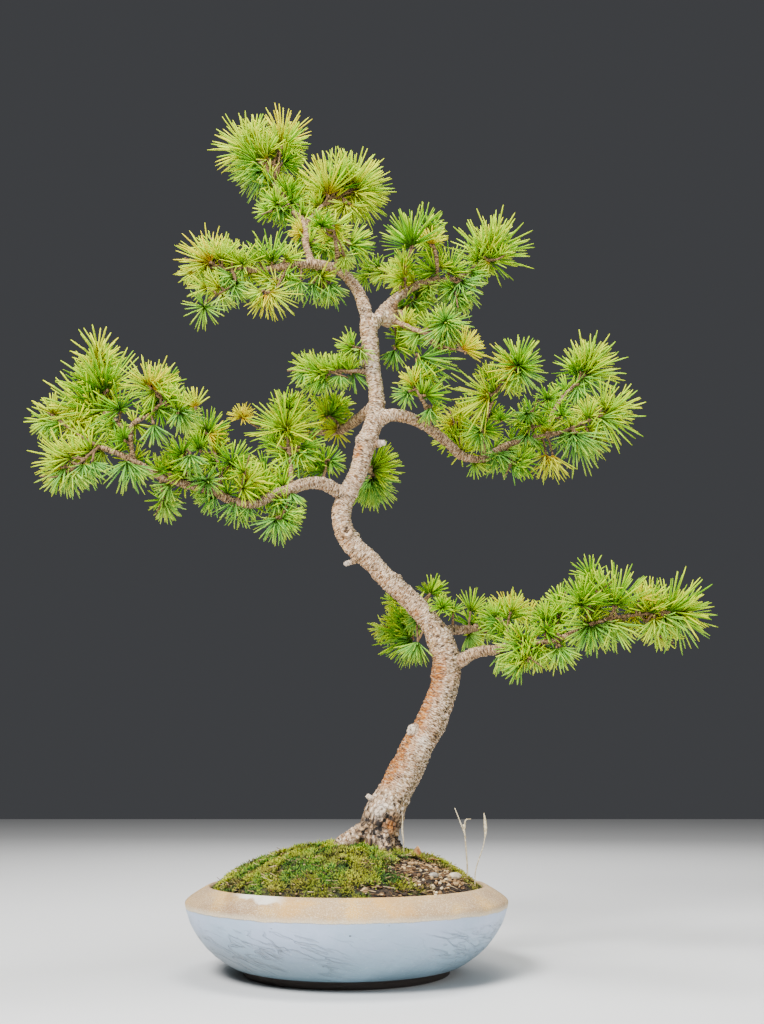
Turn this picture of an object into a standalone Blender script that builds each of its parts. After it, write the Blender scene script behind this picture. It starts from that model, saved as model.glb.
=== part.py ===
"""Larch bonsai in a round, shallow stoneware pot.

Metres, +Z up. The origin is the centre of the pot's foot, on the table.
+X is the side of the low right-hand branch, and -Y is the front.
"""

import math
import random

import bmesh
import bpy
import numpy as np
from mathutils import Matrix, Vector
from mathutils.bvhtree import BVHTree

MM = 0.001
GAP = 0.3 * MM

# Pot
POT_RADIUS = 150 * MM
RIM_HEIGHT = 78 * MM
MOUTH_RADIUS = 128.5 * MM
SHOULDER_HEIGHT = 64 * MM
FOOT_RADIUS = 95 * MM
FOOT_HEIGHT = 6 * MM
FLOOR_HEIGHT = 12 * MM
ROUND_STEPS = 32
DRAIN_RADIUS = 9 * MM
DRAIN_OFFSET = 48 * MM

# Drain mesh
SCREEN_SIDE = 26 * MM
SCREEN_THICK = 1.2 * MM
SCREEN_CELLS = 5

# Soil and moss
SOIL_FLOOR = FLOOR_HEIGHT + SCREEN_THICK + 2 * GAP
MOUND_RADIUS = 126 * MM
MOUND_EDGE = 74 * MM
MOUND_RISE = 41 * MM
MOSS_THICK = 6 * MM
MOSS_EDGE_THICK = 2.5 * MM

MOUND_RINGS = 4
MOSS_RINGS = 7
BARE_PATCH = (92 * MM, -52 * MM)
BARE_SIZE = (34 * MM, 25 * MM)

# Larch
NEEDLE_LENGTH = 25 * MM
NEEDLE_RADIUS = 0.75 * MM
NEEDLES_ROUND = 3
NEEDLES_TIP = 4
TUFT_STEP = 25 * MM
FIRST_TUFT = 9 * MM
TWIG_RADIUS = 1.7 * MM
TWIG_TIP_RADIUS = 0.9 * MM
STUB_LENGTH = 3 * MM
SEED = 7

# Each limb is a list of (x, y, z, radius) in millimetres, from its root to its flat end.
TRUNK = [
    (28, 0, 40, 16), (28, 0, 84, 20), (28, 0, 108, 21.5), (28, 0, 119, 21), (32, 1, 134, 19.8),
    (39, 2, 150, 17.7), (47, 3, 166, 16.2), (55, 4, 180, 16.4), (66, 5, 203, 15.3),
    (78, 7, 222, 15.1), (86, 8, 240, 14.7), (93, 9, 259, 14.3), (96, 9, 276, 14.4),
    (95, 8, 293, 14.0), (89, 8, 310, 12.9), (79, 7, 327, 11.1), (65, 6, 343, 10.4),
    (50, 5, 357, 10.0), (35, 3, 371, 9.6), (20, 1, 387, 9.8), (4, -1, 401, 10.0),
    (-6, -2, 418, 10.2), (-8, -3, 436, 9.7), (0, -4, 458, 9.3), (9, -5, 478, 9.5),
    (14, -6, 499, 10.0), (21, -7, 518, 9.8), (26, -8, 535, 9.2), (27, -8, 552, 8.0),
    (25, -9, 571, 7.8), (21, -9, 588, 9.1), (21, -10, 605, 8.7), (19, -10, 622, 8.9),
    (19, -10, 635, 9.8), (19, -10, 643, 7.5),
]
LIMBS = {
    "left_leader": [
        (18, -10, 632, 7.8), (15, -12, 649, 6.9), (5, -15, 672, 6.0), (-13, -20, 690, 5.4), (-38, -27, 693, 4.6),
        (-64, -34, 688, 3.9), (-90, -42, 680, 3.3), (-119, -50, 677, 2.5),
    ],
    "apex": [
        (-40, -27, 693, 3.9), (-47, -20, 719, 4.0), (-50, -10, 747, 3.7), (-68, 2, 774, 3.3), (-87, 10, 807, 2.5),
    ],
    "apex_right": [(-50, -10, 745, 3.2), (-32, 8, 778, 2.4)],
    "leader_upright": [(-13, -20, 690, 3.3), (-14, -38, 704, 2.7), (-16, -50, 713, 2.0)],
    "right_leader": [
        (20, -10, 630, 7.3), (28, -4, 642, 6.7), (39, 6, 661, 5.9), (58, 18, 683, 4.9), (84, 30, 700, 4.1),
        (110, 40, 706, 3.5), (132, 50, 724, 2.4),
    ],
    "right_leader_upright": [(91, 32, 701, 2.8), (92, 22, 719, 2.5), (89, 14, 731, 2.0)],
    "burl": [(28, -6, 645, 6.8), (43, 6, 647, 8.4), (52, 22, 660, 4.0)],
    "behind_leader": [(56, 18, 682, 3.2), (48, 52, 715, 2.9), (35, 78, 735, 2.0)],
    "burl_shoot": [(43, 6, 647, 3.6), (61, -14, 628, 2.9), (75, -28, 617, 2.1)],
    "small_left": [(24, -9, 582, 3.1), (2, -20, 579, 2.2), (-8, -26, 577, 1.8)],
    "second_left": [
        (25, -8, 543, 6.1), (14, 2, 540, 5.4), (1, 16, 534, 4.8), (-11, 32, 532, 4.2), (-24, 50, 535, 3.4),
        (-44, 68, 540, 2.4),
    ],
    "lower_left": [
        (0, -4, 454, 7.6), (-11, -9, 455, 6.8), (-27, -18, 461, 6.6), (-44, -28, 458, 6.1), (-58, -36, 450, 5.7),
        (-72, -44, 443, 5.3), (-87, -54, 432, 4.8), (-105, -64, 429, 4.4), (-123, -72, 437, 4.2), (-148, -84, 442, 3.7),
        (-174, -96, 447, 3.3), (-191, -104, 457, 3.0), (-209, -110, 465, 2.7), (-227, -114, 471, 2.3),
    ],
    "lower_left_upright": [
        (-197, -105, 460, 2.6), (-198, -116, 477, 2.3), (-196, -122, 490, 2.1), (-180, -122, 500, 1.8),
    ],
    "lower_left_far": [(-198, -117, 480, 2.1), (-220, -102, 503, 2.0), (-236, -90, 512, 1.8)],
    "lower_left_mid": [(-125, -72, 437, 2.7), (-123, -54, 461, 2.4), (-133, -40, 487, 2.0)],
    "lower_left_inner": [(-58, -36, 450, 2.9), (-58, -24, 473, 2.7), (-62, -14, 499, 2.1)],
    "right_middle": [
        (25, -8, 526, 7.3), (36, -11, 533, 6.7), (51, -9, 535, 6.3), (67, -4, 531, 5.9), (86, 4, 521, 5.3),
        (101, 12, 511, 5.0), (116, 20, 500, 4.6), (139, 28, 500, 4.2), (163, 36, 516, 3.8), (195, 46, 527, 3.2),
        (226, 56, 537, 2.4),
    ],
    "right_middle_upright": [
        (139, 28, 500, 3.0), (137, 10, 519, 2.7), (140, -4, 536, 2.5), (145, -14, 550, 1.9),
    ],
    "right_middle_outer": [
        (208, 50, 531, 2.8), (219, 66, 563, 2.6), (233, 78, 585, 2.4), (249, 88, 603, 1.9),
    ],
    "right_middle_inner": [(80, -1, 524, 2.9), (78, -20, 538, 2.4), (70, -32, 548, 1.9)],
    "lower_right": [
        (96, 8, 284, 8.4), (109, 3, 286, 6.5), (122, -7, 293, 5.5), (139, -17, 295, 4.8), (155, -27, 298, 4.2),
        (177, -39, 299, 3.6), (198, -51, 302, 3.0), (220, -63, 311, 2.5), (241, -73, 318, 2.0),
    ],
    "lower_right_back": [
        (90, 9, 314, 6.5), (104, 28, 320, 5.0), (123, 54, 324, 4.1), (145, 84, 333, 2.4),
    ],
    "behind_trunk": [(80, 8, 326, 6.0), (75, 36, 335, 4.3), (66, 64, 341, 3.1), (58, 88, 340, 2.2)],
    "behind_mid": [(10, -5, 483, 4.6), (18, 18, 485, 3.1), (26, 40, 484, 2.1)],
}
# Roots run out of the flare and dive into the soil.
ROOTS = {
    "root_left": [(24, -4, 128, 13), (8, -10, 121, 9.5), (-8, -15, 112, 7), (-22, -20, 96, 4)],
    "root_front": [(30, -4, 126, 12), (34, -19, 116, 8), (38, -32, 104, 5.5), (40, -40, 92, 3.5)],
    "root_right": [(32, 0, 126, 12), (48, -6, 114, 8), (60, -9, 102, 5), (68, -11, 90, 3.5)],
    "root_back": [(28, 4, 126, 12), (24, 20, 116, 8), (20, 33, 105, 5.5), (18, 42, 92, 3.5)],
    "root_back_right": [(32, 3, 124, 11), (44, 15, 112, 7), (53, 25, 100, 4.5), (59, 31, 88, 3)],
}
# Cut snags and knots on the trunk, as (x, y, z, radius) from the heart to the cut face.
SNAGS = {
    "snag_low": [(40, 0, 152, 5), (26, -6, 160, 4.4), (21, -8, 164, 3.6)],
    "snag_base": [(38, -4, 146, 7), (29, -16, 142, 6), (27, -21, 141, 4.6)],
    "snag_bend": [(14, 1, 392, 5), (3, -6, 384, 3.8), (-4, -8, 382, 3.2)],
    "snag_upper": [(22, -8, 512, 4), (34, -14, 511, 3.4), (40, -16, 511, 2.8)],
    "snag_fork": [(19, -10, 590, 3.6), (12, -17, 590, 3), (8, -21, 590, 2.4)],
    "snag_dry": [(44, 4, 650, 4), (47, -8, 657, 2.6), (49, -15, 664, 1.6)],
    "knot_trunk": [(86, 6, 224, 12), (79, -6, 222, 8), (77, -11, 221, 5)],
    "knot_bend": [(-4, -2, 414, 8), (-6, -11, 416, 5.5), (-7, -14, 416, 3.6)],
}
# Each spray is (limb, point it leaves, twig as millimetre steps from there, forks), and each
# fork is (share of the twig at which it leaves, its own steps).
SPRAYS = {
    "left_tip": ("left_leader", 7, [(-20, -4, 0), (-33, -8, 2), (-47, -11, 7)],
                 [(0.1, [(5, -8, -19), (-22, -14, -41)]), (0.4, [(3, 12, 26), (-6, 18, 42)])]),
    "left_hanging": ("left_leader", 5, [(-8, -11, -25), (-14, -21, -42)], []),
    "left_under": ("left_leader", 4, [(8, 15, -15), (20, 25, -27)], []),
    "leader_upright": ("leader_upright", 2, [(-1, -6, 11), (-2, -10, 20)], []),
    "apex": ("apex", 4, [(1, 3, 22), (8, 5, 51), (12, 4, 69)], [(0.3, [(-19, -8, 17), (-39, -12, 31)])]),
    "apex_front": ("apex", 3, [(-16, -19, -15), (-25, -33, -27)], []),
    "apex_back": ("apex", 3, [(9, 21, 25), (15, 43, 47)], []),
    "apex_right": ("apex_right", 1, [(17, 12, 19), (32, 20, 30), (49, 26, 42)],
                   [(0.2, [(5, -8, 20), (9, -12, 39)])]),
    "apex_low": ("apex", 1, [(22, 18, 16), (47, 32, 23)], []),
    "right_tip": ("right_leader", 6, [(14, 3, 11), (25, 6, 32), (33, 6, 54)],
                  [(0.3, [(15, -15, -5), (27, -23, 3)])]),
    "leader_right_upright": ("right_leader_upright", 2, [(-6, 5, 22), (-13, 8, 38)], []),
    "right_hanging": ("right_leader", 5, [(2, -12, -22), (4, -20, -41)], []),
    "right_front": ("right_leader", 3, [(-2, -15, 13), (2, -23, 27)], []),
    "burl": ("burl", 2, [(17, 14, 19), (33, 28, 20)], []),
    "behind_leader": ("behind_leader", 2, [(-14, 12, 11), (-25, 22, 20)], []),
    "burl_shoot": ("burl_shoot", 2, [(18, -6, -3), (34, -10, -14)], []),
    "burl_low": ("burl", 1, [(6, 12, -17), (19, 20, -34)], []),
    "trunk_tuft": ("trunk", 31, [(-15, -16, -3), (-25, -24, -2)], []),
    "small_left": ("small_left", 2, [(-17, -6, -1), (-36, -12, -4), (-54, -16, -6)], []),
    "second_left": ("second_left", 5, [(-28, 10, 9), (-50, 16, 21)], []),
    "second_left_up": ("second_left", 3, [(-8, -6, 15), (-16, -10, 29)], []),
    "far_left": ("lower_left", 13, [(-23, 4, 14), (-49, 10, 34), (-62, 12, 43)],
                 [(0.1, [(-13, -8, -18), (-30, -14, -32), (-46, -16, -33)])]),
    "far_left_up": ("lower_left_far", 2, [(-4, 4, 24), (-6, 8, 50), (-6, 10, 70)], []),
    "left_upright": ("lower_left_upright", 3, [(10, -4, 8), (26, -10, 4), (44, -15, 5)],
                     [(0.2, [(0, 2, 22), (-3, 4, 40)])]),
    "left_mid": ("lower_left_mid", 2, [(-8, 4, 18), (-11, 8, 38)], []),
    "left_inner": ("lower_left_inner", 2, [(-2, 4, 24), (-7, 8, 48), (-12, 10, 63)], []),
    "left_near": ("lower_left", 2, [(3, 10, 22), (-2, 16, 39)], []),
    "left_low": ("lower_left", 4, [(-3, -11, -22), (-9, -16, -40)], []),
    "left_front": ("lower_left", 7, [(6, -15, 18), (13, -25, 41)], []),
    "left_drop": ("lower_left", 10, [(2, 10, -18), (-6, 18, -32)], []),
    "left_high": ("lower_left", 9, [(-2, -16, 17), (-1, -24, 35)], []),
    "left_back": ("lower_left", 6, [(1, 26, 22), (-6, 52, 39)], []),
    "right_outer_tip": ("right_middle", 10, [(24, 6, 12), (47, 12, 23), (71, 17, 36)],
                        [(0.2, [(12, 10, -16), (22, 16, -32)])]),
    "right_outer_up": ("right_middle_outer", 3, [(13, 5, 20), (28, 10, 47)], []),
    "right_upright": ("right_middle_upright", 3, [(12, -6, 21), (28, -10, 43)], []),
    "right_inner": ("right_middle_inner", 2, [(-5, 6, 20), (-2, 10, 39)], []),
    "right_inner_up": ("right_middle", 6, [(-3, 12, 27), (-11, 22, 56)], [(0.3, [(9, 22, 18), (20, 44, 34)])]),
    "right_centre": ("right_middle", 9, [(-4, -13, 20), (2, -21, 37)], []),
    "right_drop": ("right_middle", 8, [(4, -8, -22), (-4, -14, -38)], []),
    "behind_mid": ("behind_mid", 2, [(9, 12, -6), (17, 22, -8)], []),
    "low_tip": ("lower_right", 8, [(29, -5, 3), (57, -9, 6), (80, -11, 2)],
                [(0.3, [(16, 12, -15), (34, 20, -24)])]),
    "low_high": ("lower_right", 7, [(7, -16, 24), (26, -24, 42)], []),
    "low_up": ("lower_right", 6, [(2, 8, 25), (11, 14, 48)], []),
    "low_drop": ("lower_right", 5, [(-4, -13, -16), (3, -23, -24)], []),
    "low_inner": ("lower_right", 4, [(-1, 8, 20), (5, 14, 41)], []),
    "low_back": ("lower_right_back", 3, [(22, 16, 15), (48, 30, 30)], []),
    "behind_trunk": ("behind_trunk", 3, [(-8, 14, -3), (-18, 26, -5), (-28, 36, -10)],
                     [(0.3, [(11, 12, 14), (22, 20, 26)])]),
}
# Loose things on the mound: (x, y) in millimetres.
STONES = {"stone_pale": (98, -46, 6.0), "stone_grey": (78, -66, 4.6)}
LEAF_PLACE = (74 * MM, -22 * MM)
STALKS = {
    "stalk_forked": [(112, -10, 74), (112, -10, 96), (110, -12, 128), (101, -13, 144)],
    "stalk_seeded": [(118, -22, 74), (119, -22, 92), (126, -22, 112), (128, -23, 140)],
}
STALK_RADIUS = 0.6 * MM


def clear_scene():
    for obj in list(bpy.data.objects):
        bpy.data.objects.remove(obj, do_unlink=True)


def finish(obj, colour, roughness, metallic=0.0):
    """Gives the object its own Principled material."""
    material = bpy.data.materials.new(obj.name + "_finish")
    material.use_nodes = True
    shader = material.node_tree.nodes["Principled BSDF"]
    shader.inputs["Base Color"].default_value = (*colour, 1.0)
    shader.inputs["Roughness"].default_value = roughness
    shader.inputs["Metallic"].default_value = metallic
    obj.data.materials.clear()
    obj.data.materials.append(material)


def link(name, mesh):
    obj = bpy.data.objects.new(name, mesh)
    bpy.context.scene.collection.objects.link(obj)
    return obj


def from_bmesh(name, bm):
    bmesh.ops.remove_doubles(bm, verts=bm.verts, dist=1e-6)
    bmesh.ops.recalc_face_normals(bm, faces=bm.faces)
    mesh = bpy.data.meshes.new(name)
    bm.to_mesh(mesh)
    bm.free()
    return link(name, mesh)


def applied(obj):
    """Bakes the object's modifiers, or a curve's tube, into a mesh of its own."""
    graph = bpy.context.evaluated_depsgraph_get()
    mesh = bpy.data.meshes.new_from_object(obj.evaluated_get(graph), depsgraph=graph)
    name = obj.name
    bpy.data.objects.remove(obj, do_unlink=True)
    return link(name, mesh)


def closed(obj):
    """Joins a curve's caps to its sides, and turns every face outwards."""
    bm = bmesh.new()
    bm.from_mesh(obj.data)
    name = obj.name
    bpy.data.objects.remove(obj, do_unlink=True)
    return from_bmesh(name, bm)


def tube(name, points, sides_level):
    """A round tube with flat ends through (place, radius) points: 4 sides and 2 more per level."""
    curve = bpy.data.curves.new(name, "CURVE")
    curve.dimensions = "3D"
    curve.twist_mode = "MINIMUM"
    curve.bevel_depth = 1.0
    curve.bevel_resolution = sides_level
    curve.use_fill_caps = True
    spline = curve.splines.new("POLY")
    spline.points.add(len(points) - 1)
    for knot, (place, radius) in zip(spline.points, points):
        knot.co = (*place, 1.0)
        knot.radius = radius
    return closed(applied(link(name, curve)))


def union(base, pieces):
    """Fuses every piece into the base, and removes the pieces."""
    group = bpy.data.collections.new(base.name + "_pieces")
    bpy.context.scene.collection.children.link(group)
    for piece in pieces:
        for holder in list(piece.users_collection):
            holder.objects.unlink(piece)
        group.objects.link(piece)
    boolean = base.modifiers.new("fuse", "BOOLEAN")
    boolean.operation = "UNION"
    boolean.operand_type = "COLLECTION"
    boolean.collection = group
    boolean.solver = "MANIFOLD"
    fused = applied(base)
    for piece in list(group.objects):
        bpy.data.objects.remove(piece, do_unlink=True)
    bpy.data.collections.remove(group)
    return fused


def cut(target, cutter):
    """Takes the cutter out of the target."""
    boolean = target.modifiers.new("cut", "BOOLEAN")
    boolean.operation = "DIFFERENCE"
    boolean.object = cutter
    boolean.solver = "MANIFOLD"
    result = applied(target)
    bpy.data.objects.remove(cutter, do_unlink=True)
    return result


def lathe(name, profile, steps):
    """Turns a closed (radius, height) outline once round the Z axis."""
    bm = bmesh.new()
    verts = [bm.verts.new((radius, 0.0, height)) for radius, height in profile]
    edges = [bm.edges.new((a, b)) for a, b in zip(verts, verts[1:])]
    bmesh.ops.spin(
        bm, geom=verts + edges, cent=(0, 0, 0), axis=(0, 0, 1), dvec=(0, 0, 0),
        angle=2 * math.pi, steps=steps, use_merge=True, use_duplicate=False,
    )
    return from_bmesh(name, bm)


def cylinder(name, x, y, low, high, radius, sides):
    bm = bmesh.new()
    middle = Matrix.Translation((x, y, (low + high) / 2))
    bmesh.ops.create_cone(
        bm, cap_ends=True, segments=sides, radius1=radius, radius2=radius,
        depth=high - low, matrix=middle,
    )
    return from_bmesh(name, bm)


# Pot

WALL_INSIDE = [
    (126.5, 72.5), (139, 61), (139.5, 53), (131, 37.5), (118, 25), (102, 17), (86, 12.2),
]


def make_pot():
    outside = [
        (0, 0), (FOOT_RADIUS / MM - 1, 0), (FOOT_RADIUS / MM, 1.2),
        (FOOT_RADIUS / MM + 0.5, FOOT_HEIGHT / MM), (107, 9), (122, 18.5), (135.5, 32), (144.5, 46),
        (148.3, 56), (149.6, 60.5), (POT_RADIUS / MM, SHOULDER_HEIGHT / MM), (148.2, 67),
        (132, 77), (MOUTH_RADIUS / MM + 1.5, RIM_HEIGHT / MM), (MOUTH_RADIUS / MM, RIM_HEIGHT / MM - 0.6),
        (127, 75.5),
    ]
    inside = WALL_INSIDE[:-1] + [(86, FLOOR_HEIGHT / MM), (0, FLOOR_HEIGHT / MM)]
    profile = [(r * MM, z * MM) for r, z in outside + inside]
    pot = lathe("pot", profile, ROUND_STEPS)
    for side in (-1, 1):
        hole = cylinder("drain", side * DRAIN_OFFSET, 0, -5 * MM, 20 * MM, DRAIN_RADIUS, 16)
        pot = cut(pot, hole)
    finish(pot, (0.60, 0.62, 0.64), 0.45)
    return pot


def make_screen(name, x):
    """A square of plastic mesh over one drain hole."""
    bm = bmesh.new()
    place = Matrix.Translation((x, 0, FLOOR_HEIGHT + GAP))
    bmesh.ops.create_grid(
        bm, x_segments=SCREEN_CELLS, y_segments=SCREEN_CELLS, size=SCREEN_SIDE / 2, matrix=place
    )
    bm.faces.ensure_lookup_table()
    last = SCREEN_CELLS - 1
    holes = []
    for index, face in enumerate(list(bm.faces)):
        row, column = divmod(index, SCREEN_CELLS)
        if row % 2 == 1 and column % 2 == 1 and row < last and column < last:
            holes.append(face)
    bmesh.ops.delete(bm, geom=holes, context="FACES_ONLY")
    sheet = bmesh.ops.extrude_face_region(bm, geom=list(bm.faces))
    lifted = [v for v in sheet["geom"] if isinstance(v, bmesh.types.BMVert)]
    bmesh.ops.translate(bm, verts=lifted, vec=(0, 0, SCREEN_THICK))
    screen = from_bmesh(name, bm)
    finish(screen, (0.05, 0.07, 0.05), 0.6)
    return screen


# Soil and moss

def mound_height(x, y):
    """The top of the mound, moss included, before its small lumps."""
    out = min(1.0, math.hypot(x, y) / MOUND_RADIUS)
    return MOUND_EDGE + MOUND_RISE * (1 - out * out) ** 0.8


def moss_depth(x, y):
    out = min(1.0, math.hypot(x, y) / MOUND_RADIUS)
    return MOSS_THICK + (MOSS_EDGE_THICK - MOSS_THICK) * out * out


def soil_height(x, y):
    return mound_height(x, y) - moss_depth(x, y)


def lumps(x, y):
    """Cushions of moss, from 0 in the furrows to 1 on the crowns."""
    u = x / (9 * MM)
    v = y / (9 * MM)
    wave = math.sin(u + 0.7 * math.sin(0.8 * v)) * math.cos(0.9 * v + 0.5 * math.sin(u))
    return 0.5 + 0.5 * wave


def ring_radii(count, edge):
    return [edge * (i / count) ** 0.9 for i in range(count, -1, -1)]


def make_soil():
    rings = ring_radii(MOUND_RINGS, MOUND_RADIUS - GAP)
    inside = [(r * MM - GAP * 1.3, max(z * MM, SOIL_FLOOR)) for r, z in WALL_INSIDE]
    under = [(0.0, SOIL_FLOOR)] + inside[::-1]
    profile = under + [(r, soil_height(r, 0)) for r in rings]
    soil = lathe("soil", profile, ROUND_STEPS)
    finish(soil, (0.05, 0.035, 0.025), 0.95)
    return soil


def make_moss():
    edge = MOUND_RADIUS - GAP
    under = [(r, soil_height(r, 0) + GAP) for r in ring_radii(MOUND_RINGS, edge)]
    over = [(r, mound_height(r, 0)) for r in ring_radii(MOSS_RINGS, edge)]
    moss = lathe("moss", under[::-1] + over, ROUND_STEPS)
    for vert in moss.data.vertices:
        x, y, z = vert.co
        if z > mound_height(x, y) - 0.5 * MM and math.hypot(x, y) < 0.97 * edge:
            vert.co.z += 3.5 * MM * (lumps(x, y) - 0.55)
    bare = cylinder("bare", 0, 0, 60 * MM, 140 * MM, 1.0, 11)
    for vert in bare.data.vertices:
        wobble = 1 + 0.14 * math.sin(2.3 * math.atan2(vert.co.y, vert.co.x) + 1)
        vert.co.x = BARE_PATCH[0] + vert.co.x * BARE_SIZE[0] * wobble
        vert.co.y = BARE_PATCH[1] + vert.co.y * BARE_SIZE[1] * wobble
    moss = cut(moss, bare)
    finish(moss, (0.16, 0.30, 0.04), 0.9)
    return moss


# Trunk and branches

def metres(route, grow=0.0):
    return [(Vector(point[:3]) * MM, point[3] * MM + grow) for point in route]


def make_base(name, grow):
    """The foot of the trunk with its roots, grown by a margin when it is a cutter."""
    foot = tube(name, metres(TRUNK[:8], grow), 3)
    roots = [tube(root, metres(route, grow), 1) for root, route in ROOTS.items()]
    return union(foot, roots)


def limb_points(limb):
    return TRUNK if limb == "trunk" else LIMBS[limb]


def leaves_from_end(limb, index):
    return limb != "trunk" and index == len(LIMBS[limb]) - 1


def spray_start(limb, index, steps):
    """Where a spray's twig starts, its direction there, and the stub that it grows from."""
    x, y, z, radius = limb_points(limb)[index]
    place = Vector((x, y, z)) * MM
    if leaves_from_end(limb, index):
        before = Vector(limb_points(limb)[index - 1][:3]) * MM
        way = (place - before).normalized()
        return place + way * GAP, way, None
    way = Vector(steps[0]).normalized()
    face = place + way * (radius * MM + STUB_LENGTH)
    return face + way * GAP, way, [(place, TWIG_RADIUS), (face, TWIG_RADIUS)]


def tapered(points, thick, thin):
    last = len(points) - 1
    return [(place, thick + (thin - thick) * i / last) for i, place in enumerate(points)]


def spray_twigs(limb, index, steps, forks):
    """The spray's twigs as lists of (place, radius), the first starting at the stub."""
    start, way, stub = spray_start(limb, index, steps)
    origin = Vector(limb_points(limb)[index][:3]) * MM
    ends = [origin + Vector(step) * MM for step in steps]
    if stub is None:
        thick = limb_points(limb)[index][3] * MM
    else:
        thick = TWIG_RADIUS
    ends = [end for end in ends if (end - start).dot(way) > 5 * MM]
    main = [start + way * 1.5 * MM] + ends
    twigs = [tapered([start] + main, thick, TWIG_TIP_RADIUS)]
    for share, fork_steps in forks:
        at = main[round(share * (len(main) - 1))]
        fork = [at] + [at + Vector(step) * MM for step in fork_steps]
        twigs.append(tapered(fork, TWIG_RADIUS * 0.9, TWIG_TIP_RADIUS))
    return twigs


def make_tree():
    trunk = tube("trunk_and_branches", metres(TRUNK), 3)
    pieces = []
    for name, route in ROOTS.items():
        pieces.append(tube(name, metres(route), 1))
    for name, route in SNAGS.items():
        pieces.append(tube(name, metres(route), 0))
    for name, route in LIMBS.items():
        pieces.append(tube(name, metres(route), 1 if route[0][3] > 3.8 else 0))
    for name, (limb, index, steps, forks) in SPRAYS.items():
        stub = spray_start(limb, index, steps)[2]
        if stub:
            pieces.append(tube(name + "_stub", stub, 0))
    trunk = union(trunk, pieces)
    finish(trunk, (0.42, 0.33, 0.27), 0.85)
    return trunk


# Needles

class Clearance:
    """Every twig, limb and needle as a round bar, to keep new needles clear of other nodes."""

    def __init__(self):
        self.starts = []
        self.ends = []
        self.radii = []
        self.owners = []

    def add(self, owner, start, end, radius):
        self.starts.append(tuple(start))
        self.ends.append(tuple(end))
        self.radii.append(radius)
        self.owners.append(owner)

    def add_route(self, owner, route):
        for (start, thick), (end, thin) in zip(route, route[1:]):
            self.add(owner, start, end, max(thick, thin))

    def freeze(self):
        """The lists as arrays, for one spray's tests."""
        return (np.array(self.starts), np.array(self.ends), np.array(self.radii), np.array(self.owners))


def is_clear(bars, owner, start, end, radius):
    """Whether a needle stays a gap away from every bar of another node."""
    starts, ends, radii, owners = bars
    others = owners != owner
    a, b = starts[others], ends[others]
    samples = np.linspace(0, 1, 13)[:, None]
    line = np.array(start)[None] * (1 - samples) + np.array(end)[None] * samples
    along = b - a
    share = ((line[:, None] - a) * along).sum(2) / np.maximum((along * along).sum(1), 1e-12)
    nearest = a + np.clip(share, 0, 1)[..., None] * along
    distance = np.linalg.norm(line[:, None] - nearest, axis=2)
    return bool((distance > radii[others] + radius + 2.5 * GAP).all())


def needle(name, start, way, length):
    """A three-sided needle that tapers to its tip."""
    bm = bmesh.new()
    turn = way.to_track_quat("Z", "Y").to_matrix().to_4x4()
    place = Matrix.Translation(start + way * length / 2) @ turn
    bmesh.ops.create_cone(
        bm, cap_ends=True, segments=3, radius1=NEEDLE_RADIUS, radius2=0.0, depth=length, matrix=place
    )
    return from_bmesh(name, bm)


def tuft_places(twig):
    """(place, direction, whether it is the tip) of each tuft along a twig."""
    places = [place for place, radius in twig]
    spans = [(b - a).length for a, b in zip(places, places[1:])]
    total = sum(spans)
    count = max(1, round((total - FIRST_TUFT) / TUFT_STEP))
    found = []
    for tuft in range(count + 1):
        at = FIRST_TUFT + (total - FIRST_TUFT) * tuft / count
        for a, b, span in zip(places, places[1:], spans):
            if at <= span * 1.001 or b is places[-1]:
                way = (b - a).normalized()
                found.append((a + way * min(at, span - 0.4 * MM), way, tuft == count))
                break
            at -= span
    return found


def needle_ways(draw, way, tip):
    """Directions round a twig: spread wide along it, and forward too at its tip."""
    side = way.orthogonal().normalized()
    count = NEEDLES_TIP if tip else NEEDLES_ROUND
    turn = draw.uniform(0, 2 * math.pi)
    for i in range(count):
        around = turn + 2 * math.pi * (i + draw.uniform(-0.2, 0.2)) / count
        lean = draw.uniform(0.35, 1.0) if tip else draw.uniform(0.9, 1.25)
        across = Matrix.Rotation(around, 3, way) @ side
        yield (way * math.cos(lean) + across * math.sin(lean)).normalized()


def make_spray(name, twigs, bars, draw):
    node = "spray_" + name
    core = tube(node, twigs[0], 0)
    pieces = [tube(node + "_fork", twig, 0) for twig in twigs[1:]]
    frozen = bars.freeze()
    for twig in twigs:
        for place, way, tip in tuft_places(twig):
            for lean in needle_ways(draw, way, tip):
                length = NEEDLE_LENGTH * draw.uniform(0.85, 1.1)
                root = place + lean * 0.2 * MM
                for attempt in range(4):
                    end = root + lean * length
                    if is_clear(frozen, node, root, end, NEEDLE_RADIUS):
                        pieces.append(needle(node + "_needle", root, lean, length))
                        bars.add(node, root, end, NEEDLE_RADIUS)
                        break
                    lean = (lean + way * 0.35 + Vector((0, 0, 0.15))).normalized()
    spray = union(core, pieces)
    finish(spray, (0.30, 0.46, 0.10), 0.55)
    return spray


def make_sprays():
    draw = random.Random(SEED)
    bars = Clearance()
    for route in [TRUNK, *LIMBS.values(), *ROOTS.values(), *SNAGS.values()]:
        bars.add_route("trunk", metres(route))
    twigs = {}
    for name, (limb, index, steps, forks) in SPRAYS.items():
        stub = spray_start(limb, index, steps)[2]
        if stub:
            bars.add_route("trunk", stub)
        twigs[name] = spray_twigs(limb, index, steps, forks)
        for twig in twigs[name]:
            bars.add_route("spray_" + name, twig)
    return [make_spray(name, found, bars, draw) for name, found in twigs.items()]


# Loose things on the mound

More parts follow.
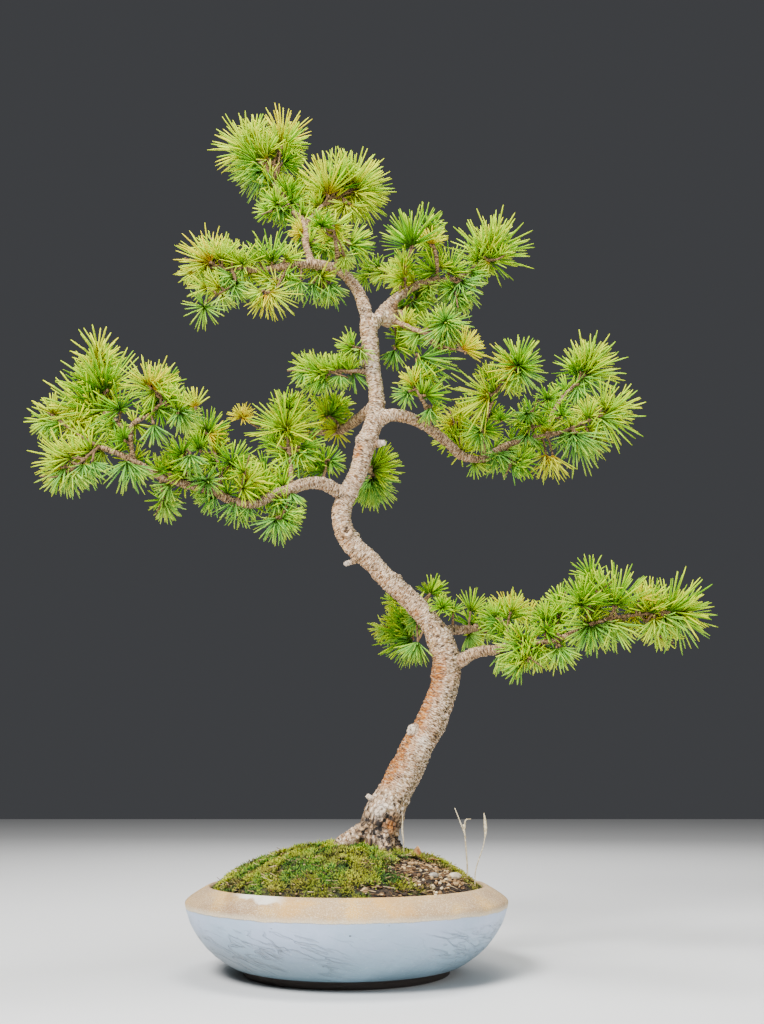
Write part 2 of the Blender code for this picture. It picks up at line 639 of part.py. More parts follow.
def settle(obj, ground):
    """Lowers the object until it lies one gap above the ground piece."""
    trees = []
    for piece in (obj, ground):
        corners = [vert.co for vert in piece.data.vertices]
        trees.append(BVHTree.FromPolygons(corners, [face.vertices for face in piece.data.polygons]))
    own, under = trees
    drops = [under.ray_cast(vert.co, (0, 0, -1))[3] for vert in obj.data.vertices]
    drops += [own.ray_cast(vert.co, (0, 0, 1))[3] for vert in ground.data.vertices]
    fall = min(drop for drop in drops if drop is not None)
    obj.data.transform(Matrix.Translation((0, 0, GAP - fall)))


def make_stone(name, x, y, size, soil):
    bm = bmesh.new()
    bmesh.ops.create_icosphere(bm, subdivisions=1, radius=size * MM)
    for vert in bm.verts:
        vert.co.x *= 1.25 + 0.1 * math.sin(9 * vert.co.y / (size * MM))
        vert.co.z *= 0.6
    bmesh.ops.translate(bm, verts=bm.verts, vec=(x * MM, y * MM, MOUND_EDGE + MOUND_RISE))
    stone = from_bmesh(name, bm)
    settle(stone, soil)
    finish(stone, (0.46, 0.42, 0.37), 0.8)
    return stone


def make_leaf(moss):
    """A dry, curled leaf lying on the moss."""
    bm = bmesh.new()
    bmesh.ops.create_grid(bm, x_segments=6, y_segments=2, size=0.5)
    x0, y0 = LEAF_PLACE
    for vert in bm.verts:
        along = vert.co.x
        wide = 11 * MM * math.sqrt(max(0.02, 1 - (1.9 * along) ** 2))
        x = x0 + along * 24 * MM
        y = y0 + vert.co.y * wide
        curl = 9 * MM * along ** 2 + 4 * MM * vert.co.y ** 2
        vert.co = (x, y, mound_height(x, y) + 4 * MM + curl)
    leaf = from_bmesh("dry_leaf", bm)
    solidify = leaf.modifiers.new("thickness", "SOLIDIFY")
    solidify.thickness = 0.7 * MM
    solidify.offset = 1.0
    leaf = applied(leaf)
    settle(leaf, moss)
    finish(leaf, (0.28, 0.17, 0.09), 0.8)
    return leaf


def make_stalk(name, route):
    points = [(Vector(place) * MM, STALK_RADIUS) for place in route]
    stalk = tube(name, points, 1)
    top = points[-1][0]
    head = [(top - Vector((0, 0, 9 * MM)), 0.9 * MM), (top - Vector((0, 0, 3 * MM)), 1.6 * MM)]
    head.append((top + Vector((0, 0, 4 * MM)), 0.5 * MM))
    pieces = [tube(name + "_head", head, 1)]
    stalk = union(stalk, pieces)
    finish(stalk, (0.52, 0.42, 0.25), 0.8)
    return stalk


def stalk_hole(route):
    x, y, low = route[0]
    return cylinder("hole", x * MM, y * MM, (low - 1) * MM, (low + 60) * MM, 1.1 * MM, 8)


def main():
    clear_scene()
    make_pot()
    make_screen("drain_mesh_left", -DRAIN_OFFSET)
    make_screen("drain_mesh_right", DRAIN_OFFSET)
    soil = cut(make_soil(), make_base("soil_cutter", 1.2 * GAP))
    moss = cut(make_moss(), make_base("moss_cutter", 1.2 * GAP))
    for route in STALKS.values():
        soil = cut(soil, stalk_hole(route))
        moss = cut(moss, stalk_hole(route))
    make_tree()
    make_sprays()
    for name, (x, y, size) in STONES.items():
        make_stone(name, x, y, size, soil)
    make_leaf(moss)
    for name, route in STALKS.items():
        make_stalk(name, route)


main()
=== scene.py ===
"""Larch bonsai in a round, shallow stoneware pot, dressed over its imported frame.

Metres, +Z up, and -Y is the front. Each class builds one sub-assembly of the plant in its pot,
and main() builds them in order. Routes of wood are in millimetres, as in the part's own source.
"""

from __future__ import annotations

import logging
import math
import random
from collections.abc import Iterable, Iterator
from contextlib import contextmanager
from dataclasses import dataclass, field
from enum import Enum
from typing import Any

import bpy
import numpy as np
from mathutils import Matrix, Vector, noise

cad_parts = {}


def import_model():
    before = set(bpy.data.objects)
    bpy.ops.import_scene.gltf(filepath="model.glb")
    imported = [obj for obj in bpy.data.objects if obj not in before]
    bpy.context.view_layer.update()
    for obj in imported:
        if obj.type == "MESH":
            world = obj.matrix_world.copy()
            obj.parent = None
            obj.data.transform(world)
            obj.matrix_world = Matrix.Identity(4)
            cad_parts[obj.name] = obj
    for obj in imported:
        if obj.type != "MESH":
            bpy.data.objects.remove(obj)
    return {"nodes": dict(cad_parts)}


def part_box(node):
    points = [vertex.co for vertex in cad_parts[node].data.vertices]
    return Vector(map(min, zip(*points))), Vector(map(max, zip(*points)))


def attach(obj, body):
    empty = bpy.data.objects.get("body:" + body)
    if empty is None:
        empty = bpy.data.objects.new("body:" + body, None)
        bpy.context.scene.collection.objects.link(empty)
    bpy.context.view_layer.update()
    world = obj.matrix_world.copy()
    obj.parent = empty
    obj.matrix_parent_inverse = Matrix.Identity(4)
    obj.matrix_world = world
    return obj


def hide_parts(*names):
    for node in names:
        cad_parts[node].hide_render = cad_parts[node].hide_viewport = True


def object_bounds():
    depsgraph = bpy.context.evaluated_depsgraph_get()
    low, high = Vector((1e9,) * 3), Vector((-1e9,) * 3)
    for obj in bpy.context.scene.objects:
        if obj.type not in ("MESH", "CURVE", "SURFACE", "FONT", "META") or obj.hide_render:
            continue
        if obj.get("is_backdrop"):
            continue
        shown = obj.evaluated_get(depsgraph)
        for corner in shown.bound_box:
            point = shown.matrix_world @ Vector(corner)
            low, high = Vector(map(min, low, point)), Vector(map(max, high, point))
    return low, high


LOG = logging.getLogger("larch")
MM = 0.001
# Radians: the widest random turn, the turn from one needle to the next, and the one in a whorl.
FULL_TURN = 6.28
GOLDEN_TURN = 2.39996
WHORL_TURN = 2.4
Colour = tuple[float, float, float]
Knot = tuple[float, float, float, float]
Mark = tuple[str, float, float, float, float, float]
Tuft = tuple[str, float, float, float, float, float, float, float]

# Each limb is a list of (x, y, z, radius) in millimetres, from its root to its end.
TRUNK: list[Knot] = [
    (28, 0, 40, 16), (28, 0, 84, 20), (28, 0, 108, 21.5), (28, 0, 119, 21), (32, 1, 134, 19.8),
    (39, 2, 150, 17.7), (47, 3, 166, 16.2), (55, 4, 180, 16.4), (66, 5, 203, 15.3),
    (78, 7, 222, 15.1), (86, 8, 240, 14.7), (93, 9, 259, 14.3), (96, 9, 276, 14.4),
    (95, 8, 293, 14.0), (89, 8, 310, 12.9), (79, 7, 327, 11.1), (65, 6, 343, 10.4),
    (50, 5, 357, 10.0), (35, 3, 371, 9.6), (20, 1, 387, 9.8), (4, -1, 401, 10.0),
    (-6, -2, 418, 10.2), (-8, -3, 436, 9.7), (0, -4, 458, 9.3), (9, -5, 478, 9.5),
    (14, -6, 499, 10.0), (21, -7, 518, 9.8), (26, -8, 535, 9.2), (27, -8, 552, 8.0),
    (25, -9, 571, 7.8), (21, -9, 588, 9.1), (21, -10, 605, 8.7), (19, -10, 622, 8.9),
    (19, -10, 635, 9.8), (19, -10, 643, 7.5),
]
LIMBS: dict[str, list[Knot]] = {
    "left_leader": [
        (18, -10, 632, 7.8), (15, -12, 649, 6.9), (5, -15, 672, 6.0), (-13, -20, 690, 5.4),
        (-38, -27, 693, 4.6), (-64, -34, 688, 3.9), (-90, -42, 680, 3.3), (-119, -50, 677, 2.5),
    ],
    "apex": [
        (-40, -27, 693, 3.9), (-47, -20, 719, 4.0), (-50, -10, 747, 3.7), (-68, 2, 774, 3.3),
        (-87, 10, 807, 2.5),
    ],
    "apex_right": [(-50, -10, 745, 3.2), (-32, 8, 778, 2.4)],
    "leader_upright": [(-13, -20, 690, 3.3), (-14, -38, 704, 2.7), (-16, -50, 713, 2.0)],
    "right_leader": [
        (20, -10, 630, 7.3), (28, -4, 642, 6.7), (39, 6, 661, 5.9), (58, 18, 683, 4.9),
        (84, 30, 700, 4.1), (110, 40, 706, 3.5), (132, 50, 724, 2.4),
    ],
    "right_leader_upright": [(91, 32, 701, 2.8), (92, 22, 719, 2.5), (89, 14, 731, 2.0)],
    "burl": [(28, -6, 645, 6.8), (43, 6, 647, 8.4), (52, 22, 660, 4.0)],
    "behind_leader": [(56, 18, 682, 3.2), (48, 52, 715, 2.9), (35, 78, 735, 2.0)],
    "burl_shoot": [(43, 6, 647, 3.6), (61, -14, 628, 2.9), (75, -28, 617, 2.1)],
    "small_left": [(24, -9, 582, 3.1), (2, -20, 579, 2.2), (-8, -26, 577, 1.8)],
    "second_left": [
        (25, -8, 543, 6.1), (14, 2, 540, 5.4), (1, 16, 534, 4.8), (-11, 32, 532, 4.2),
        (-24, 50, 535, 3.4), (-44, 68, 540, 2.4),
    ],
    "lower_left": [
        (0, -4, 454, 7.6), (-11, -9, 455, 6.8), (-27, -18, 461, 6.6), (-44, -28, 458, 6.1),
        (-58, -36, 450, 5.7), (-72, -44, 443, 5.3), (-87, -54, 432, 4.8), (-105, -64, 429, 4.4),
        (-123, -72, 437, 4.2), (-148, -84, 442, 3.7), (-174, -96, 447, 3.3),
        (-191, -104, 457, 3.0), (-209, -110, 465, 2.7), (-227, -114, 471, 2.3),
    ],
    "lower_left_upright": [
        (-197, -105, 460, 2.6), (-198, -116, 477, 2.3), (-196, -122, 490, 2.1),
        (-180, -122, 500, 1.8),
    ],
    "lower_left_far": [(-198, -117, 480, 2.1), (-220, -102, 503, 2.0), (-236, -90, 512, 1.8)],
    "lower_left_mid": [(-125, -72, 437, 2.7), (-123, -54, 461, 2.4), (-133, -40, 487, 2.0)],
    "lower_left_inner": [(-58, -36, 450, 2.9), (-58, -24, 473, 2.7), (-62, -14, 499, 2.1)],
    "right_middle": [
        (25, -8, 526, 7.3), (36, -11, 533, 6.7), (51, -9, 535, 6.3), (67, -4, 531, 5.9),
        (86, 4, 521, 5.3), (101, 12, 511, 5.0), (116, 20, 500, 4.6), (139, 28, 500, 4.2),
        (163, 36, 516, 3.8), (195, 46, 527, 3.2), (226, 56, 537, 2.4),
    ],
    "right_middle_upright": [
        (139, 28, 500, 3.0), (137, 10, 519, 2.7), (140, -4, 536, 2.5), (145, -14, 550, 1.9),
    ],
    "right_middle_outer": [
        (208, 50, 531, 2.8), (219, 66, 563, 2.6), (233, 78, 585, 2.4), (249, 88, 603, 1.9),
    ],
    "right_middle_inner": [(80, -1, 524, 2.9), (78, -20, 538, 2.4), (70, -32, 548, 1.9)],
    "lower_right": [
        (96, 8, 284, 8.4), (109, 3, 286, 6.5), (122, -7, 293, 5.5), (139, -17, 295, 4.8),
        (155, -27, 298, 4.2), (177, -39, 299, 3.6), (198, -51, 302, 3.0), (220, -63, 311, 2.5),
        (241, -73, 318, 2.0),
    ],
    "lower_right_back": [
        (90, 9, 314, 6.5), (104, 28, 320, 5.0), (123, 54, 324, 4.1), (145, 84, 333, 2.4),
    ],
    "behind_trunk": [
        (80, 8, 326, 6.0), (75, 36, 335, 4.3), (66, 64, 341, 3.1), (58, 88, 340, 2.2),
    ],
    "behind_mid": [(10, -5, 483, 4.6), (18, 18, 485, 3.1), (26, 40, 484, 2.1)],
}
# Roots run out of the flare and dive into the soil.
ROOTS: dict[str, list[Knot]] = {
    "root_left": [(24, -4, 128, 13), (8, -10, 121, 9.5), (-8, -15, 112, 7), (-22, -20, 96, 4)],
    "root_front": [(30, -4, 126, 12), (34, -19, 116, 8), (38, -32, 104, 5.5), (40, -40, 92, 3.5)],
    "root_right": [(32, 0, 122, 12), (44, -6, 108, 7.5), (54, -9, 96, 5), (60, -11, 86, 3.5)],
    "root_back": [(28, 4, 126, 12), (24, 20, 116, 8), (20, 33, 105, 5.5), (18, 42, 92, 3.5)],
    "root_back_right": [(32, 3, 124, 11), (44, 15, 112, 7), (53, 25, 100, 4.5), (59, 31, 88, 3)],
}
# Cut snags and knots, from the heart of the trunk to the cut face.
SNAGS: dict[str, list[Knot]] = {
    "snag_low": [(40, 0, 150, 5), (26, -6, 153, 3.4), (18, -8, 158.5, 2.4)],
    "snag_base": [(38, -4, 146, 7), (31, -13, 143, 7)],
    "snag_bend": [(14, 1, 392, 5), (3, -6, 384, 3.1), (-5, -8, 381, 2.5)],
    "snag_upper": [(20, -8, 504, 4), (29, -12, 504, 3.2), (36, -15, 504.5, 2.6)],
    "snag_fork": [(19, -10, 590, 3.6), (12, -17, 590, 3), (8, -21, 590, 2.4)],
    "snag_dry": [(44, 4, 650, 4), (47, -8, 657, 2.6), (49, -15, 664, 1.6)],
    "knot_trunk": [(78, 6, 219, 8), (66, 0, 219, 6.5), (60, -4, 220, 5.4)],
    "knot_bend": [(-4, -2, 412, 8), (-3, -9, 412.5, 6.4), (-3, -12, 413, 5.4)],
}
# Each mark on the bark is (kind, x, y, z, reach, strength), in millimetres. A dark, pale or rust
# mark is a stain, an eye is a knot with a hole, a lump swells, and a ring is a crack round the
# wood. The hole of an eye and the crack of a ring are also painted dark, as painted shade.
MARKS: list[Mark] = [
    ("dark", 38, -17, 142, 3, 1), ("dark", 30, -19, 134, 6, 0.9), ("dark", 46, -13, 120, 3, 0.9),
    ("pale", 33, -16, 148, 6, 0.9), ("pale", 28, -17, 142, 5, 0.8), ("rust", 42, -16, 131, 8, 1),
    ("pale", 32, -21, 120, 6, 0.7), ("dark", 96, -4, 255, 4, 0.5), ("pale", 72, -9, 209, 6, 0.8),
    ("eye", 60, -4, 219, 4, 1.3), ("pale", 60, -4, 221, 7, 0.9), ("eye", 27, -7, 375, 3.2, 1.2),
    ("eye", 63, -3, 351, 2.8, 0.8), ("eye", 81, -2, 333, 3.6, 0.8), ("rust", 66, -3, 332, 4, 0.9),
    ("eye", 78, 4, 304, 3.4, 1), ("eye", 13, -15, 484, 3, 1), ("rust", 9, -15, 499, 4.5, 1),
    ("rust", 7, -14, 492, 4, 1), ("lump", 8, -6, 513, 4, 2.4), ("lump", 10, -1, 414, 4, 3.2),
    ("lump", 50, 4, 370, 3.5, 1.6), ("lump", 22, -18, 586, 7, 1.5), ("pale", 23, -18, 584, 6, 1),
    ("dark", 14, -17, 580, 3, 1), ("dark", 12, -18, 646, 4.5, 1), ("lump", 37, 2, 637, 5, 2.5),
    ("lump", 54, 12, 654, 5, 3.5), ("rust", 54, 12, 654, 6, 0.7), ("lump", 41, 2, 629, 4, 2),
    ("dark", 35, -6, 619, 3.5, 1), ("lump", 22, -15, 631, 4, 1.8), ("rust", 13, -15, 607, 5, 0.5),
    ("dark", -10, -13, 448, 2.5, 0.9), ("dark", 28, -16, 566, 2.2, 0.8),
    ("eye", -3, -13, 413, 5, 1.5), ("ring", 17, -6, 506, 17, 0.8), ("ring", 0, -4, 449, 17, 0.8),
    ("ring", 25, -8, 545, 15, 0.7), ("ring", 20, -9, 612, 15, 0.7), ("ring", 38, 3, 367, 16, 0.5),
    ("ring", 95, 8, 292, 20, 0.7),
]
Steps = list[tuple[float, float, float]]
Forks = list[tuple[float, Steps]]
# Each spray is (limb, point that it leaves, twig as steps from there, forks), in millimetres, and
# each fork is (share of the twig at which it leaves, its own steps).
SPRAYS: dict[str, tuple[str, int, Steps, Forks]] = {
    "left_tip": (
        "left_leader", 7, [(-20, -4, 0), (-33, -8, 2), (-47, -11, 7)],
        [(0.1, [(5, -8, -19), (-22, -14, -41)]), (0.4, [(3, 12, 26), (-6, 18, 42)])],
    ),
    "left_hanging": ("left_leader", 5, [(-8, -11, -25), (-14, -21, -42)], []),
    "left_under": ("left_leader", 4, [(8, 15, -15), (20, 25, -27)], []),
    "leader_upright": ("leader_upright", 2, [(-1, -6, 11), (-2, -10, 20)], []),
    "apex": (
        "apex", 4, [(1, 3, 22), (8, 5, 51), (12, 4, 69)], [(0.3, [(-19, -8, 17), (-39, -12, 31)])],
    ),
    "apex_front": ("apex", 3, [(-16, -19, -15), (-25, -33, -27)], []),
    "apex_back": ("apex", 3, [(9, 21, 25), (15, 43, 47)], []),
    "apex_right": (
        "apex_right", 1, [(17, 12, 19), (32, 20, 30), (49, 26, 42)],
        [(0.2, [(5, -8, 20), (9, -12, 39)])],
    ),
    "apex_low": ("apex", 1, [(22, 18, 16), (47, 32, 23)], []),
    "right_tip": (
        "right_leader", 6, [(14, 3, 11), (25, 6, 32), (33, 6, 54)],
        [(0.3, [(15, -15, -5), (27, -23, 3)])],
    ),
    "leader_right_upright": ("right_leader_upright", 2, [(-6, 5, 22), (-13, 8, 38)], []),
    "right_hanging": ("right_leader", 5, [(2, -12, -22), (4, -20, -41)], []),
    "right_front": ("right_leader", 3, [(-2, -15, 13), (2, -23, 27)], []),
    "burl": ("burl", 2, [(17, 14, 19), (33, 28, 20)], []),
    "behind_leader": ("behind_leader", 2, [(-14, 12, 11), (-25, 22, 20)], []),
    "burl_shoot": ("burl_shoot", 2, [(18, -6, -3), (34, -10, -14)], []),
    "burl_low": ("burl", 1, [(6, 12, -17), (19, 20, -34)], []),
    "trunk_tuft": ("trunk", 31, [(-15, -16, -3), (-25, -24, -2)], []),
    "small_left": ("small_left", 2, [(-17, -6, -1), (-36, -12, -4), (-54, -16, -6)], []),
    "second_left": ("second_left", 5, [(-28, 10, 9), (-50, 16, 21)], []),
    "second_left_up": ("second_left", 3, [(-8, -6, 15), (-16, -10, 29)], []),
    "far_left": (
        "lower_left", 13, [(-23, 4, 14), (-49, 10, 34), (-62, 12, 43)],
        [(0.1, [(-13, -8, -18), (-30, -14, -32), (-46, -16, -33)])],
    ),
    "far_left_up": ("lower_left_far", 2, [(-4, 4, 24), (-6, 8, 50), (-6, 10, 70)], []),
    "left_upright": (
        "lower_left_upright", 3, [(10, -4, 8), (26, -10, 4), (44, -15, 5)],
        [(0.2, [(0, 2, 22), (-3, 4, 40)])],
    ),
    "left_mid": ("lower_left_mid", 2, [(-8, 4, 18), (-11, 8, 38)], []),
    "left_inner": ("lower_left_inner", 2, [(-2, 4, 24), (-7, 8, 48), (-12, 10, 63)], []),
    "left_near": ("lower_left", 2, [(3, 10, 22), (-2, 16, 39)], []),
    "left_low": ("lower_left", 4, [(-3, -11, -22), (-9, -16, -40)], []),
    "left_front": ("lower_left", 7, [(6, -15, 18), (13, -25, 41)], []),
    "left_drop": ("lower_left", 10, [(2, 10, -18), (-6, 18, -32)], []),
    "left_high": ("lower_left", 9, [(-2, -16, 17), (-1, -24, 35)], []),
    "left_back": ("lower_left", 6, [(1, 26, 22), (-6, 52, 39)], []),
    "right_outer_tip": (
        "right_middle", 10, [(24, 6, 12), (47, 12, 23), (71, 17, 36)],
        [(0.2, [(12, 10, -16), (22, 16, -32)])],
    ),
    "right_outer_up": ("right_middle_outer", 3, [(13, 5, 20), (28, 10, 47)], []),
    "right_upright": ("right_middle_upright", 3, [(12, -6, 21), (28, -10, 43)], []),
    "right_inner": ("right_middle_inner", 2, [(-5, 6, 20), (-2, 10, 39)], []),
    "right_inner_up": (
        "right_middle", 6, [(-3, 12, 27), (-11, 22, 56)], [(0.3, [(9, 22, 18), (20, 44, 34)])],
    ),
    "right_centre": ("right_middle", 9, [(-4, -13, 20), (2, -21, 37)], []),
    "right_drop": ("right_middle", 8, [(4, -8, -22), (-4, -14, -38)], []),
    "behind_mid": ("behind_mid", 2, [(9, 12, -6), (17, 22, -8)], []),
    "low_tip": (
        "lower_right", 8, [(29, -5, 3), (57, -9, 6), (80, -11, 2)],
        [(0.3, [(16, 12, -15), (34, 20, -24)])],
    ),
    "low_high": ("lower_right", 7, [(7, -16, 24), (26, -24, 42)], []),
    "low_up": ("lower_right", 6, [(2, 8, 25), (11, 14, 48)], []),
    "low_drop": ("lower_right", 5, [(-4, -13, -16), (3, -23, -24)], []),
    "low_inner": ("lower_right", 4, [(-1, 8, 20), (5, 14, 41)], []),
    "low_back": ("lower_right_back", 3, [(22, 16, 15), (48, 30, 30)], []),
    "behind_trunk": (
        "behind_trunk", 3, [(-8, 14, -3), (-18, 26, -5), (-28, 36, -10)],
        [(0.3, [(11, 12, 14), (22, 20, 26)])],
    ),
}
